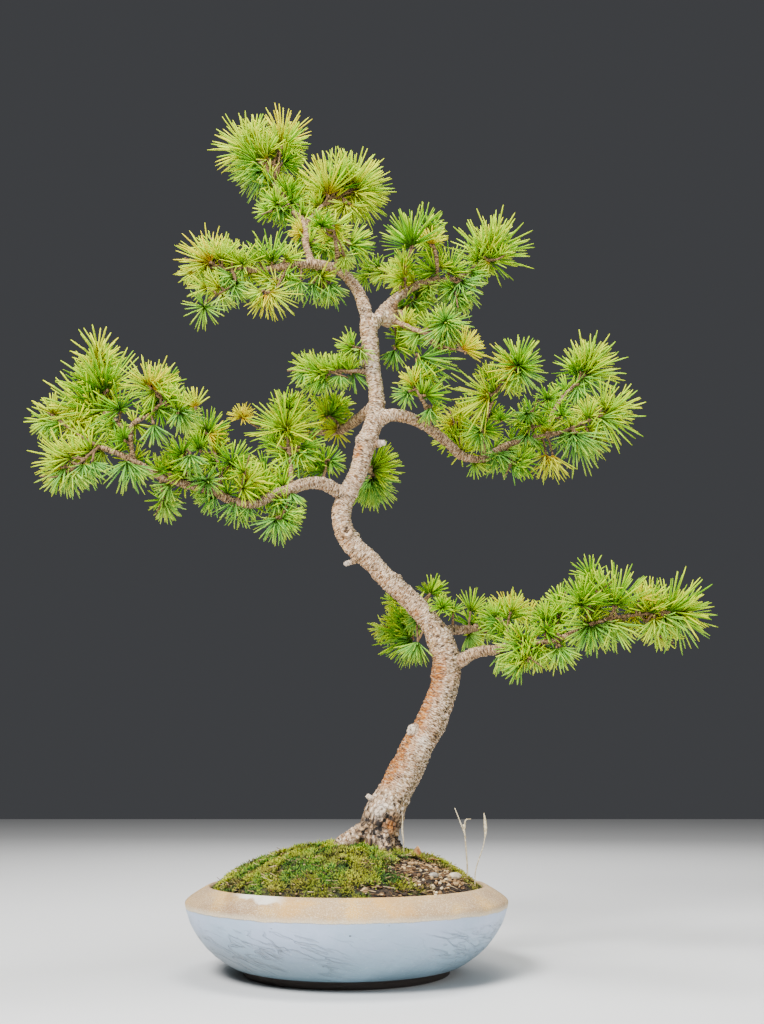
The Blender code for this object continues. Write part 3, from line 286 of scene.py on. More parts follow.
# Tufts that show from the front, by the limb or spray that they grow from. Each is its form
# (Rosette, Brush, Hanging or Feather), its place, the way and length of its needles, in
# millimetres, and how golden it is.
TUFTS: dict[str, list[Tuft]] = {
    "apex": [
        ("B", -77, 12, 856, -1, 10, 41, 0.9), ("B", -75, 12, 852, 30, -11, 2, 0.3),
        ("B", -80, 12, 852, -14, 1, 25, 0.5), ("B", -112, 5, 841, -41, -7, 19, 0.5),
        ("B", -99, 7, 832, -22, 11, 39, 0.4), ("B", -103, 6, 828, -34, -12, -4, 0.2),
        ("B", -94, 8, 820, -22, 2, -34, 0), ("B", -94, 9, 838, -3, -5, 30, 0.4),
        ("B", -98, 7, 825, -35, 10, -19, 0.1), ("B", -76, 9, 829, 27, -9, 0, 0),
        ("B", -69, 1, 786, 3, -8, 23, 0), ("B", -50, -16, 734, -17, -3, 4, 1),
    ],
    "apex_back": [("R", -65, 1, 776, 18, -18, -2, 0)],
    "apex_front": [("R", -78, -16, 767, -16, -16, 0, 0.2), ("H", -74, -7, 767, -10, -7, -21, 0.1)],
    "apex_low": [
        ("H", -28, -8, 724, -7, -7, -22, 0), ("B", -2, 7, 735, 31, 2, 5, 0.3),
        ("B", -2, 6, 730, 31, -5, -12, 0.2),
    ],
    "apex_right": [
        ("B", -26, 10, 791, -7, 3, 57, 0.6), ("B", -28, 9, 794, -27, -5, 14, 0.5),
        ("B", -19, 15, 800, 7, 11, 44, 0.1), ("B", -1, 25, 809, 11, -16, 43, 0.5),
        ("B", 2, 26, 807, 41, 2, 13, 0.5), ("B", 2, 25, 803, 34, -6, -22, 0.5),
        ("B", 1, 26, 805, 46, 11, -5, 0.4), ("H", -8, 17, 785, -7, -7, -21, 0.7),
        ("H", -2, 19, 785, 16, 2, -18, 0.6),
    ],
    "behind_mid": [
        ("B", 22, 25, 486, 34, -5, 4, 0.3), ("B", 22, 20, 489, 25, 8, 22, 0.2),
        ("H", 21, 36, 481, 11, -11, -36, 0.1), ("H", 19, 33, 478, -3, 3, -31, 0),
    ],
    "behind_trunk": [
        ("B", 64, 95, 321, -40, -15, 14, 0), ("B", 65, 96, 318, -29, 2, -20, 0),
        ("H", 68, 8, 306, -8, -7, -24, 0.1), ("B", 49, 131, 365, -29, 7, -6, 0.4),
        ("B", 62, 92, 328, -25, -11, 19, 0), ("B", 84, 134, 373, 0, 1, 26, 0.2),
        ("B", 82, 36, 358, 17, -3, 15, 0.2), ("R", 92, -2, 338, 0, -11, 11, 0.1),
    ],
    "burl": [("H", 63, 32, 681, 5, 3, -29, 0.1), ("H", 74, 36, 683, 18, 2, -17, 0.3)],
    "burl_low": [("B", 46, 16, 619, 23, -4, 10, 0.2), ("H", 46, 17, 616, -8, 2, -23, 0)],
    "burl_shoot": [
        ("R", 97, -43, 623, -11, -15, -9, 0), ("H", 97, -38, 622, -5, 3, -33, 0),
        ("H", 99, -39, 624, 16, -8, -21, 0.3), ("B", 113, -43, 593, 23, -4, 13, 0.9),
        ("B", 117, -44, 590, 10, 5, 17, 0.3),
    ],
    "far_left": [
        ("B", -254, -124, 456, -33, -12, 9, 0.5), ("B", -246, -121, 461, -18, 1, 17, 0.4),
        ("B", -249, -123, 458, -28, -4, -8, 0.4), ("H", -254, -126, 448, -5, 3, -31, 0.1),
        ("H", -239, -120, 453, 5, -8, -26, 0),
    ],
    "far_left_up": [
        ("B", -243, -94, 513, -54, 3, 23, 0.5), ("F", -239, -85, 554, -4, -5, 49, 0.6),
        ("B", -232, -91, 532, -25, -18, 44, 0.15), ("B", -228, -92, 534, 7, 2, 46, 0.3),
        ("B", -237, -90, 524, -29, -7, 35, 0.1), ("B", -234, -89, 543, 18, 5, 10, 0.2),
    ],
    "leader_right_upright": [("B", 78, 18, 759, 18, 7, 19, 0), ("B", 85, 13, 735, 3, -7, 21, 0.9)],
    "leader_upright": [("R", -28, -64, 717, 0, -14, 14, 0), ("H", -6, -36, 698, 1, 2, -17, 0.5)],
    "left_back": [("B", -86, -7, 478, -16, -4, 19, 0.2)],
    "left_hanging": [
        ("H", -84, -58, 646, -3, 3, -29, 0.85), ("H", -80, -56, 649, 26, -10, -22, 0.6),
        ("B", -87, -60, 648, -18, 1, -12, 0.5),
    ],
    "left_high": [("H", -145, -106, 466, 6, -7, -22, 0), ("B", -152, -106, 465, -12, -7, 18, 0.1)],
    "left_inner": [
        ("R", -64, -16, 517, -11, -32, 30, 0.35), ("B", -65, -13, 517, -36, 2, 25, 0.2),
        ("B", -63, -13, 515, 27, -4, -3, 0.5), ("B", -75, -19, 501, -14, 5, 14, 0.2),
    ],
    "left_leader": [
        ("B", -80, -43, 688, -3, -12, 35, 0.1), ("B", -67, -39, 692, 16, 1, 18, 0.3),
        ("R", -108, -53, 680, -1, -19, 19, 0.35), ("H", -109, -48, 679, -7, 2, -18, 0.3),
        ("B", -92, -47, 686, -7, -9, 26, 0.3), ("H", -115, -53, 663, 5, -7, -22, 0),
        ("H", -51, -37, 669, -9, -7, -22, 0.1),
    ],
    "left_low": [
        ("H", -57, -38, 447, 7, 2, -21, 0), ("H", -69, -53, 417, -13, -9, -25, 0),
        ("H", -66, -51, 417, 8, 3, -24, 0), ("H", -64, -51, 418, 23, -8, -10, 0),
    ],
    "left_mid": [
        ("B", -146, -44, 488, -11, 1, 21, 0.1), ("B", -140, -38, 507, 9, -10, 28, 0.1),
        ("B", -139, -38, 506, 22, 1, -6, 1),
    ],
    "left_near": [("B", -20, -10, 487, 17, -3, -9, 0)],
    "left_tip": [
        ("B", -140, -58, 681, -23, 2, 32, 0.95), ("B", -141, -58, 680, -38, -6, 3, 0.6),
        ("B", -143, -58, 679, -15, 6, -21, 0.5), ("B", -129, -56, 683, -5, -10, 29, 0.4),
        ("R", -142, -76, 625, 1, -18, -18, 0.35), ("B", -141, -66, 649, -25, -4, -2, 0.5),
        ("H", -126, -54, 670, -2, 2, -22, 0.1), ("B", -119, -55, 683, -5, 6, 24, 0.3),
    ],
    "left_under": [("H", -39, -19, 675, -5, -8, -25, 0), ("H", -22, -12, 678, 6, 3, -29, 0)],
    "left_upright": [
        ("B", -180, -130, 524, -1, -11, 32, 0.9), ("B", -178, -130, 522, 30, 2, 14, 0.7),
        ("B", -182, -131, 524, -32, -6, 20, 0.5), ("B", -175, -129, 519, -23, 6, -10, 0.4),
        ("B", -152, -136, 497, 6, 6, 25, 0.2), ("B", -164, -131, 509, 10, -7, 19, 0.3),
        ("B", -136, -139, 501, -5, 5, 20, 0.6),
    ],
    "low_back": [
        ("B", 169, 99, 348, 1, -4, 29, 0.8), ("B", 167, 98, 346, -20, -8, 8, 0.3),
        ("B", 192, 105, 346, -9, 5, 16, 0.9),
    ],
    "low_high": [
        ("R", 216, -82, 329, -11, -20, 16, 0.2), ("B", 217, -79, 331, -1, -11, 30, 0.2),
        ("B", 219, -78, 330, 18, 2, 28, 0.1),
    ],
    "low_inner": [("B", 158, -18, 331, 19, 6, 17, 0.4)],
    "low_tip": [
        ("B", 246, -80, 329, 13, 2, 41, 0.2), ("B", 245, -80, 329, -13, -6, 35, 0.2),
        ("B", 248, -80, 328, 28, 10, 31, 0.3), ("B", 269, -85, 334, 11, -6, 13, 0.9),
        ("H", 244, -76, 314, 14, 3, -30, 0.4), ("B", 280, -82, 321, 4, -5, 34, 0.3),
        ("B", 294, -84, 322, 22, 9, 29, 0.3), ("B", 305, -85, 322, 32, -11, -1, 0.4),
        ("B", 302, -81, 320, 23, 2, -31, 0.3), ("H", 282, -83, 317, -1, -9, -29, 0.5),
        ("B", 269, -81, 323, -2, 7, 26, 0.3), ("B", 290, -84, 319, 13, -10, -25, 0.3),
        ("B", 296, -84, 323, 41, 2, 19, 0.3),
    ],
    "low_up": [("B", 187, -51, 318, -5, 1, 24, 0.3), ("B", 203, -46, 326, -9, -3, 16, 0.3)],
    "lower_left": [
        ("H", -231, -120, 455, 13, 3, -21, 0), ("H", -202, -109, 459, 1, -10, -33, 0),
        ("H", -196, -108, 456, 14, 3, -22, 0), ("R", -164, -100, 452, -1, -16, 16, 0),
        ("R", -131, -86, 447, 1, -15, -15, 0), ("B", -132, -84, 449, -24, -4, -8, 0),
        ("H", -107, -67, 432, -8, 3, -27, 0), ("H", -94, -59, 429, -6, 2, -19, 0),
    ],
    "lower_left_far": [
        ("F", -229, -95, 511, -43, -4, 8, 0.35), ("B", -245, -95, 511, -46, -7, -12, 0.3),
        ("R", -211, -110, 507, -12, -22, 19, 0), ("H", -239, -92, 512, -34, 4, -29, 0.6),
        ("H", -236, -91, 511, -12, -8, -23, 0.5), ("H", -220, -103, 505, 2, 3, -29, 0.2),
    ],
    "lower_left_inner": [
        ("B", -60, -19, 490, -26, 7, -14, 0.4), ("H", -52, -20, 493, 10, -9, -27, 0.1),
        ("B", -50, -20, 498, 31, 2, -5, 0),
    ],
    "lower_left_mid": [
        ("R", -113, -60, 469, 4, -21, 21, 0), ("H", -112, -57, 466, 5, 3, -25, 0.2),
        ("B", -112, -57, 468, 22, -10, 18, 0.1), ("H", -126, -73, 436, -13, -7, -18, 0),
    ],
    "lower_left_upright": [
        ("H", -176, -126, 489, 3, 2, -24, 0), ("B", -203, -120, 476, -5, -2, 16, 0),
    ],
    "lower_right": [
        ("R", 169, -41, 297, 3, -20, 20, 0), ("H", 167, -36, 295, -18, -8, -22, 0.3),
        ("H", 171, -38, 295, 3, 3, -25, 0.5), ("B", 166, -36, 296, -28, -11, -12, 0.2),
        ("H", 225, -67, 313, -23, -9, -19, 0.2), ("H", 226, -67, 312, 0, 3, -29, 0.2),
        ("H", 229, -68, 313, 15, -9, -27, 0.2), ("H", 196, -53, 293, -2, -8, -26, 0.3),
        ("H", 199, -55, 294, 13, 2, -20, 0.2), ("H", 182, -43, 297, -5, -8, -27, 0.6),
        ("R", 186, -53, 308, 8, -13, 11, 0.1),
    ],
    "lower_right_back": [
        ("R", 104, 20, 338, 0, -11, 11, 0.1), ("B", 124, 53, 342, 11, 1, 26, 0.2),
        ("B", 139, 71, 321, -21, 1, -7, 0.5), ("B", 142, 74, 324, -15, -4, 22, 0),
    ],
    "right_centre": [
        ("H", 186, 39, 531, -4, 2, -24, 0), ("R", 206, 17, 560, 0, -14, 14, 0),
        ("R", 185, 25, 549, -5, -12, -11, 0), ("B", 200, 34, 538, 9, 4, 15, 0.1),
    ],
    "right_front": [
        ("B", 63, -11, 721, -7, -14, 41, 0), ("B", 62, -10, 720, -22, 2, 27, 0),
        ("B", 65, -11, 722, 8, -7, 44, 0), ("B", 57, 4, 692, -13, 7, 23, 0.5),
        ("B", 57, -4, 703, -8, 1, 20, 0.3),
    ],
    "right_hanging": [("H", 116, 34, 700, 0, 4, -42, 0), ("H", 114, 34, 699, -28, 4, -24, 0)],
    "right_inner": [
        ("H", 71, -25, 591, 42, -14, -19, 0), ("H", 69, -25, 593, 29, 5, -35, 0),
        ("B", 64, -31, 559, -5, -3, 22, 0.8), ("B", 59, -35, 551, -12, -7, -16, 0.1),
    ],
    "right_inner_up": [("B", 129, 72, 565, -11, -3, 19, 0.3)],
    "right_leader": [
        ("B", 105, 34, 712, 10, 2, 36, 0.1), ("B", 106, 35, 711, 22, -4, 15, 0.2),
        ("H", 119, 40, 704, 22, -10, -23, 0), ("B", 68, 21, 695, -33, -11, 0, 0.5),
        ("H", 84, 26, 693, -7, -5, -16, 0.4),
    ],
    "right_leader_upright": [("B", 91, 25, 708, -31, -5, 12, 0.2)],
    "right_middle": [
        ("H", 154, 31, 507, 1, -9, -30, 0), ("H", 156, 32, 508, 19, 3, -18, 0),
        ("H", 152, 30, 505, -17, -7, -15, 0), ("H", 206, 42, 508, -9, -10, -32, 0.6),
    ],
    "right_middle_inner": [
        ("B", 76, -34, 548, 27, 7, 10, 0.1), ("H", 81, -22, 539, -2, 2, -21, 0),
    ],
    "right_middle_outer": [
        ("H", 251, 86, 600, -3, 3, -31, 0), ("H", 213, 43, 508, 1, 3, -31, 0.8),
        ("R", 227, 59, 556, 0, -13, 13, 0),
    ],
    "right_middle_upright": [
        ("H", 134, 5, 522, -10, -8, -23, 0.1), ("B", 134, 3, 523, -25, 1, -9, 0.1),
        ("B", 136, 3, 523, 20, -3, 11, 0), ("R", 154, -12, 529, 0, -11, 11, 0),
    ],
    "right_outer_tip": [
        ("F", 273, 67, 561, 43, -5, 19, 0.5), ("B", 273, 66, 558, 49, 2, -7, 0.4),
        ("B", 269, 64, 556, 23, -5, -28, 0.2), ("B", 272, 65, 567, 21, 9, 28, 0.3),
        ("H", 240, 56, 535, 6, -14, -47, 0), ("H", 243, 56, 536, 28, 4, -27, 0),
        ("H", 237, 56, 535, -10, -10, -31, 0),
    ],
    "right_outer_up": [
        ("F", 258, 90, 615, 22, -5, 49, 0.5), ("B", 254, 88, 617, -15, 9, 31, 0.2),
        ("B", 260, 89, 614, 41, -15, 8, 0.4), ("B", 260, 90, 618, 35, 3, 37, 0.5),
        ("B", 257, 88, 610, 25, -6, -29, 0.2),
    ],
    "right_tip": [
        ("F", 150, 52, 738, 13, -7, 65, 0.6), ("B", 155, 51, 739, 36, -17, 32, 0.2),
        ("B", 152, 50, 734, 37, 2, 2, 0.2), ("B", 146, 51, 740, -18, -7, 45, 0.4),
        ("B", 156, 52, 747, 27, 15, 52, 0.3), ("B", 139, 49, 731, -15, -10, 26, 0.3),
    ],
    "right_upright": [
        ("R", 170, -29, 581, 3, -23, 23, 0.1), ("B", 169, -25, 581, -40, 2, -3, 0.9),
        ("B", 172, -27, 579, 23, -4, 18, 0.2), ("H", 172, -26, 578, 12, 3, -29, 0.2),
        ("H", 169, -25, 577, -11, -7, -22, 0.3), ("B", 171, -26, 584, -8, 2, 31, 0.1),
        ("B", 142, -18, 553, -44, -7, -18, 0.5), ("B", 140, -19, 556, -24, 7, 13, 0.4),
    ],
    "second_left": [("R", -120, 73, 558, 0, -13, 13, 1), ("B", -68, 75, 547, 17, -15, 38, 0.4)],
    "second_left_up": [
        ("B", -24, 22, 544, -2, 8, 33, 0.2), ("B", -22, 23, 545, 23, -9, 13, 0.1),
        ("B", -26, 21, 543, -18, 1, 19, 0.3),
    ],
    "small_left": [
        ("B", 0, -21, 577, -9, 1, 20, 0.2), ("B", -12, -27, 576, -11, -3, 17, 0.3),
        ("F", -20, -30, 574, -31, -3, 9, 0.3), ("B", -28, -33, 571, -30, -11, -6, 0.3),
        ("H", -10, -27, 573, -2, 2, -18, 0.1),
    ],
    "trunk_tuft": [("B", 2, -28, 600, -15, -3, 11, 0.1)],
}


# Each dry stalk is its blades, as knots in millimetres, and the nodes that it stands for.
STALKS: dict[str, tuple[list[list[Knot]], tuple[str, ...]]] = {
    "forked_stalk": (
        [
            [
                (112, -10, 78, 0.8), (112, -10, 96, 0.75), (110, -12, 124, 0.65),
                (109, -12, 132, 0.9),
            ],
            [(111, -12, 120, 0.55), (106, -13, 134, 0.5), (101, -13, 147, 0.35)],
            [(110, -12, 128, 0.9), (111, -13, 136, 0.55), (116, -14, 137, 0.3)],
        ],
        ("stalk_forked",),
    ),
    "seeded_stalk": (
        [
            [(118, -22, 76, 0.6), (119, -22, 92, 0.5), (126, -22, 112, 0.45), (128, -23, 122, 0.5)],
            [
                (128, -23, 120, 0.5), (128.6, -23, 128, 1.5), (128.3, -23, 136, 1.2),
                (127.4, -23, 143, 0.25),
            ],
        ],
        ("stalk_seeded",),
    ),
    "thin_stalk": (
        [[(53, -14, 104, 0.5), (52.5, -14, 118, 0.6), (51.5, -14, 126, 0.9), (52, -14, 142, 0.35)]],
        (),
    ),
}


class Slot(Enum):
    """The record's material slots."""

    POT = "pot"
    SCREEN = "drain_mesh"
    SOIL = "soil"
    MOSS = "moss"
    BARK = "bark"
    NEEDLES = "needles"
    LEAF = "dry_leaf"
    STONE = "stone"
    STALK = "stalk"


class TuftForm(Enum):
    """How the needles of a short shoot spread."""

    ROSETTE = "R"
    BRUSH = "B"
    HANGING = "H"
    FEATHER = "F"


# How many needles each form has, and how far its first and last ones lean, in degrees.
SPREADS: dict[TuftForm, tuple[int, int, int]] = {
    TuftForm.ROSETTE: (27, 12, 92),
    TuftForm.BRUSH: (23, 5, 66),
    TuftForm.HANGING: (22, 5, 58),
    TuftForm.FEATHER: (34, 12, 62),
}


def clamp(value: float) -> float:
    """The value, kept from 0 to 1."""
    return min(1.0, max(0.0, value))


# Modelling


class Bench:
    """Blender's modelling operators, used on one piece at a time."""

    @staticmethod
    def pick(*objects: bpy.types.Object) -> None:
        """Selects these objects alone, and makes the first one active.

        Args:
            objects: what the next operator acts on.
        """
        for other in bpy.context.selected_objects:
            other.select_set(False)
        for obj in objects:
            obj.select_set(True)
        if objects:
            bpy.context.view_layer.objects.active = objects[0]

    @staticmethod
    def named(name: str) -> bpy.types.Object:
        """Names the primitive that was just added.

        Args:
            name: the piece's name.

        Returns:
            The active object.
        """
        obj = bpy.context.active_object
        obj.name = name
        obj.data.name = name
        return obj

    @staticmethod
    @contextmanager
    def edit(obj: bpy.types.Object) -> Iterator[None]:
        """Edit mode on one object, with all of its mesh selected.

        Args:
            obj: the object to edit.
        """
        Bench.pick(obj)
        bpy.ops.object.mode_set(mode="EDIT")
        bpy.ops.mesh.select_all(action="SELECT")
        try:
            yield
        finally:
            bpy.ops.object.mode_set(mode="OBJECT")

    @staticmethod
    def modify(obj: bpy.types.Object, kind: str, **settings: Any) -> None:
        """Adds a modifier, and applies it.

        Args:
            obj: the object to change.
            kind: the modifier's type.
            settings: its properties.
        """
        Bench.pick(obj)
        modifier = obj.modifiers.new(kind.lower(), kind)
        for key, value in settings.items():
            setattr(modifier, key, value)
        bpy.ops.object.modifier_apply(modifier=modifier.name)

    @staticmethod
    def settle(obj: bpy.types.Object) -> None:
        """Moves the object's place and turn into its mesh.

        Args:
            obj: the object to settle.
        """
        Bench.pick(obj)
        bpy.ops.object.transform_apply(location=True, rotation=True, scale=True)

    @staticmethod
    def outward(obj: bpy.types.Object, merge: float = 1e-6) -> None:
        """Merges the object's doubles, and turns its faces outwards.

        Args:
            obj: the object to clean.
            merge: how near two points are one.
        """
        with Bench.edit(obj):
            bpy.ops.mesh.remove_doubles(threshold=merge)
            bpy.ops.mesh.normals_make_consistent(inside=False)

    @staticmethod
    def smooth(obj: bpy.types.Object, degrees: float = 180.0) -> None:
        """Shades the object smooth, up to an angle.

        Args:
            obj: the object to shade.
            degrees: edges sharper than this stay hard.
        """
        Bench.pick(obj)
        if degrees >= 180:
            bpy.ops.object.shade_smooth()
        else:
            bpy.ops.object.shade_smooth_by_angle(angle=math.radians(degrees))

    @staticmethod
    def turn(start: float, profile: Iterable[tuple[float, float]]) -> None:
        """Extrudes the selected ring through a profile, and closes it at its last height.

        Args:
            start: the ring's radius.
            profile: the radius and height of each further ring.
        """
        here = start
        for radius, height in profile:
            bpy.ops.mesh.extrude_region_move()
            share = radius / here
            bpy.ops.transform.resize(value=(share, share, 0), center_override=(0, 0, height))
            here = radius
        bpy.ops.mesh.extrude_region_move()
        bpy.ops.mesh.merge(type="CENTER")

    @staticmethod
    def join(name: str, parts: list[bpy.types.Object]) -> bpy.types.Object:
        """Joins the parts into the first one.

        Args:
            name: the name of the result.
            parts: the objects to join, at least one.

        Returns:
            The joined object.
        """
        Bench.pick(*parts)
        if len(parts) > 1:
            bpy.ops.object.join()
        return Bench.named(name)

    @staticmethod
    def stamp(pattern: bpy.types.Object, place: Matrix) -> bpy.types.Object:
        """Copies a pattern, with a mesh of its own, to a place.

        Args:
            pattern: the object to copy.
            place: where the pattern's origin goes, and its turn and scale.

        Returns:
            The copy, at the origin, with its place in its mesh.
        """
        copy = pattern.copy()
        copy.data = pattern.data.copy()
        copy.data.transform(place)
        bpy.context.scene.collection.objects.link(copy)
        return copy

    @staticmethod
    def drop(objects: Iterable[bpy.types.Object]) -> None:
        """Removes patterns that have done their work.

        Args:
            objects: the objects to remove.
        """
        for obj in list(objects):
            bpy.data.objects.remove(obj, do_unlink=True)

    @staticmethod
    def points(obj: bpy.types.Object) -> np.ndarray:
        """The places of the object's vertices, one row each."""
        found = np.empty(len(obj.data.vertices) * 3, np.float32)
        obj.data.vertices.foreach_get("co", found)
        return found.reshape(-1, 3).astype(float)

    @staticmethod
    def normals(obj: bpy.types.Object) -> np.ndarray:
        """The normals of the object's vertices, one row each."""
        found = np.empty(len(obj.data.vertices) * 3, np.float32)
        obj.data.vertices.foreach_get("normal", found)
        return found.reshape(-1, 3).astype(float)

    @staticmethod
    def move(obj: bpy.types.Object, points: np.ndarray) -> None:
        """Puts the object's vertices at new places.

        Args:
            obj: the object to shape.
            points: one row for each vertex.
        """
        obj.data.vertices.foreach_set("co", points.astype(np.float32).ravel())
        obj.data.update()

    @staticmethod
    def paint(obj: bpy.types.Object, name: str, values: np.ndarray) -> None:
        """Stores four numbers on each vertex, for a material to read.

        Args:
            obj: the object to mark.
            name: the attribute's name.
            values: one row of four for each vertex.
        """
        known = obj.data.attributes
        layer = known.get(name) or known.new(name, "FLOAT_COLOR", "POINT")
        layer.data.foreach_set("color", values.astype(np.float32).ravel())

    @staticmethod
    def painted(obj: bpy.types.Object, name: str) -> np.ndarray:
        """The four numbers stored on each vertex, one row each."""
        found = np.empty(len(obj.data.vertices) * 4, np.float32)
        obj.data.attributes[name].data.foreach_get("color", found)
        return found.reshape(-1, 4)

    @staticmethod
    def dress(obj: bpy.types.Object, *materials: bpy.types.Material) -> None:
        """Gives the object these materials, in order.

        Args:
            obj: the object to dress.
            materials: one for each slot.
        """
        obj.data.materials.clear()
        for material in materials:
            obj.data.materials.append(material)

    @staticmethod
    def hand_over(obj: bpy.types.Object, slot: Slot, *nodes: str) -> None:
        """Makes the piece part of the plant, in the place of its CAD nodes.

        Args:
            obj: the finished piece.
            slot: the record's slot of its finish; not used.
            nodes: the CAD nodes that it stands for.
        """
        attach(obj, "root")
        if nodes:
            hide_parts(*nodes)
        LOG.info("%s: %d faces", obj.name, len(obj.data.polygons))


# Materials


class Signal:
    """A number that changes over a surface, whose arithmetic adds Math nodes."""

    def __init__(self, board: Board, socket: bpy.types.NodeSocket) -> None:
        """Wraps an output socket.

        Args:
            board: the material that the socket is in.
            socket: the output.
        """
        self.board = board
        self.socket = socket

    def _math(self, operation: str, first: Any, second: Any) -> Signal:
        """A Math node on two numbers."""
        return self.board.node("ShaderNodeMath", {"operation": operation}, {0: first, 1: second})

    def __add__(self, other: Signal | float) -> Signal:
        """The sum."""
        return self._math("ADD", self, other)

    def __radd__(self, other: float) -> Signal:
        """The sum, with the number first."""
        return self._math("ADD", other, self)

    def __sub__(self, other: Signal | float) -> Signal:
        """The difference."""
        return self._math("SUBTRACT", self, other)

    def __rsub__(self, other: float) -> Signal:
        """The difference, with the number first."""
        return self._math("SUBTRACT", other, self)

    def __mul__(self, other: Signal | float) -> Signal:
        """The product."""
        return self._math("MULTIPLY", self, other)

    def __rmul__(self, other: float) -> Signal:
        """The product, with the number first."""
        return self._math("MULTIPLY", other, self)

    def __truediv__(self, other: Signal | float) -> Signal:
        """The quotient."""
        return self._math("DIVIDE", self, other)

    def step(self, low: float, high: float) -> Signal:
        """A smooth step.

        Args:
            low: where it gives 0.
            high: where it gives 1, which may be below low.

        Returns:
            From 0 to 1.
        """
        if low > high:
            return 1 - self.step(high, low)
        settings = {"interpolation_type": "SMOOTHSTEP"}
        inputs = {0: self, 1: low, 2: high, 3: 0.0, 4: 1.0}
        return self.board.node("ShaderNodeMapRange", settings, inputs)


class Board:
    """One material's node tree, with its Principled shader."""

    def __init__(self, name: str) -> None:
        """Starts a material.

        Args:
            name: the material's name.
        """
        self.material = bpy.data.materials.new(name)
        self.material.use_nodes = True
        self.tree = self.material.node_tree
        self.shader = self.tree.nodes["Principled BSDF"]

    def node(
        self,
        kind: str,
        settings: dict[str, Any] | None = None,
        inputs: dict[Any, Any] | None = None,
        output: int | str = 0,
    ) -> Signal:
        """Adds a node.

        Args:
            kind: the node's type.
            settings: its properties, or a ramp's "stops", set before its sockets.
            inputs: a value or a Signal for each input socket, by name or number.
            output: the socket to give back, by name or number.

        Returns:
            The chosen output.
        """
        made = self.tree.nodes.new(kind)
        for key, value in (settings or {}).items():
            if key == "stops":
                self._stops(made, value)
            else:
                setattr(made, key, value)
        for key, value in (inputs or {}).items():
            self.feed(made.inputs[key], value)
        return Signal(self, made.outputs[output])

    @staticmethod
    def _stops(made: bpy.types.Node, stops: list[tuple[float, Colour]]) -> None:
        """Sets a ramp's colours."""
        ramp = made.color_ramp
        while len(ramp.elements) < len(stops):
            ramp.elements.new(1.0)
        for element, (place, colour) in zip(ramp.elements, stops):
            element.position = place
            element.color = (*colour, 1.0)

    def feed(self, socket: bpy.types.NodeSocket, value: Any) -> None:
        """Links a Signal to a socket, or sets its value.

        Args:
            socket: the input.
            value: a Signal, a number, or a colour or vector.
        """
        if isinstance(value, Signal):
            self.tree.links.new(value.socket, socket)
        elif socket.type == "RGBA" and len(value) == 3:
            socket.default_value = (*value, 1.0)
        else:
            socket.default_value = value

    def mix(self, share: Signal | float, first: Any, second: Any) -> Signal:
        """Mixes two colours.

        Args:
            share: 0 for the first, 1 for the second.
            first: a colour or a Signal.
            second: a colour or a Signal.

        Returns:
            The mixed colour.
        """
        return self.node("ShaderNodeMix", {"data_type": "RGBA"}, {0: share, 6: first, 7: second}, 2)

    def place(self) -> Signal:
        """Object coordinates."""
        return self.node("ShaderNodeTexCoord", output="Object")

    def split(self, vector: Signal) -> tuple[Signal, Signal, Signal]:
        """The three numbers of a vector."""
        x = self.node("ShaderNodeSeparateXYZ", inputs={0: vector})
        node = x.socket.node
        return x, Signal(self, node.outputs[1]), Signal(self, node.outputs[2])

    def stretch(self, vector: Signal, scale: tuple[float, float, float]) -> Signal:
        """Scales a pattern's coordinates."""
        return self.node("ShaderNodeMapping", inputs={"Vector": vector, "Scale": scale})

    def noise(
        self, vector: Signal, scale: float, detail: float = 4.0, warp: float = 0.0
    ) -> Signal:
        """Soft noise, from 0 to 1.

        Args:
            vector: its coordinates.
            scale: how fine it is.
            detail: how many finer layers it has.
            warp: how much it is distorted.

        Returns:
            The noise.
        """
        inputs = {"Vector": vector, "Scale": scale, "Detail": detail, "Distortion": warp}
        return self.node("ShaderNodeTexNoise", inputs=inputs)

    def cells(self, vector: Signal, scale: float, feature: str = "F1") -> Signal:
        """Distance in a Voronoi pattern.

        Args:
            vector: its coordinates.
            scale: how fine it is.
            feature: F1, or DISTANCE_TO_EDGE.

        Returns:
            The distance.
        """
        inputs = {"Vector": vector, "Scale": scale}
        return self.node("ShaderNodeTexVoronoi", {"feature": feature}, inputs)

    def marks(self, name: str) -> tuple[Signal, Signal, Signal, Signal]:
        """The four numbers painted on a piece.

        Args:
            name: the attribute's name.

        Returns:
            Its four numbers.
        """
        colour = self.node("ShaderNodeAttribute", {"attribute_name": name}, output="Color")
        parts = self.node("ShaderNodeSeparateColor", inputs={0: colour})
        node = parts.socket.node
        alpha = Signal(self, colour.socket.node.outputs["Alpha"])
        return parts, Signal(self, node.outputs[1]), Signal(self, node.outputs[2]), alpha

    def vector(self, name: str) -> Signal:
        """A vector painted on a piece."""
        return self.node("ShaderNodeAttribute", {"attribute_name": name}, output="Vector")

    def finish(
        self,
        colour: Any,
        roughness: Any,
        relief: Signal | None = None,
        depth: float = MM,
        plain: dict[str, float] | None = None,
    ) -> bpy.types.Material:
        """Feeds the shader.

        Args:
            colour: the base colour.
            roughness: the roughness.
            relief: the height of the surface, from 0 to 1.
            depth: how far up a height of 1 is, in metres.
            plain: other sockets of the shader that are the same all over.

        Returns:
            The material.
        """
        self.feed(self.shader.inputs["Base Color"], colour)
        self.feed(self.shader.inputs["Roughness"], roughness)
        if relief is not None:
            inputs = {"Height": relief, "Distance": depth, "Strength": 1.0}
            self.feed(self.shader.inputs["Normal"], self.node("ShaderNodeBump", inputs=inputs))
        for name, value in (plain or {}).items():
            self.feed(self.shader.inputs[name], value)
        return self.material


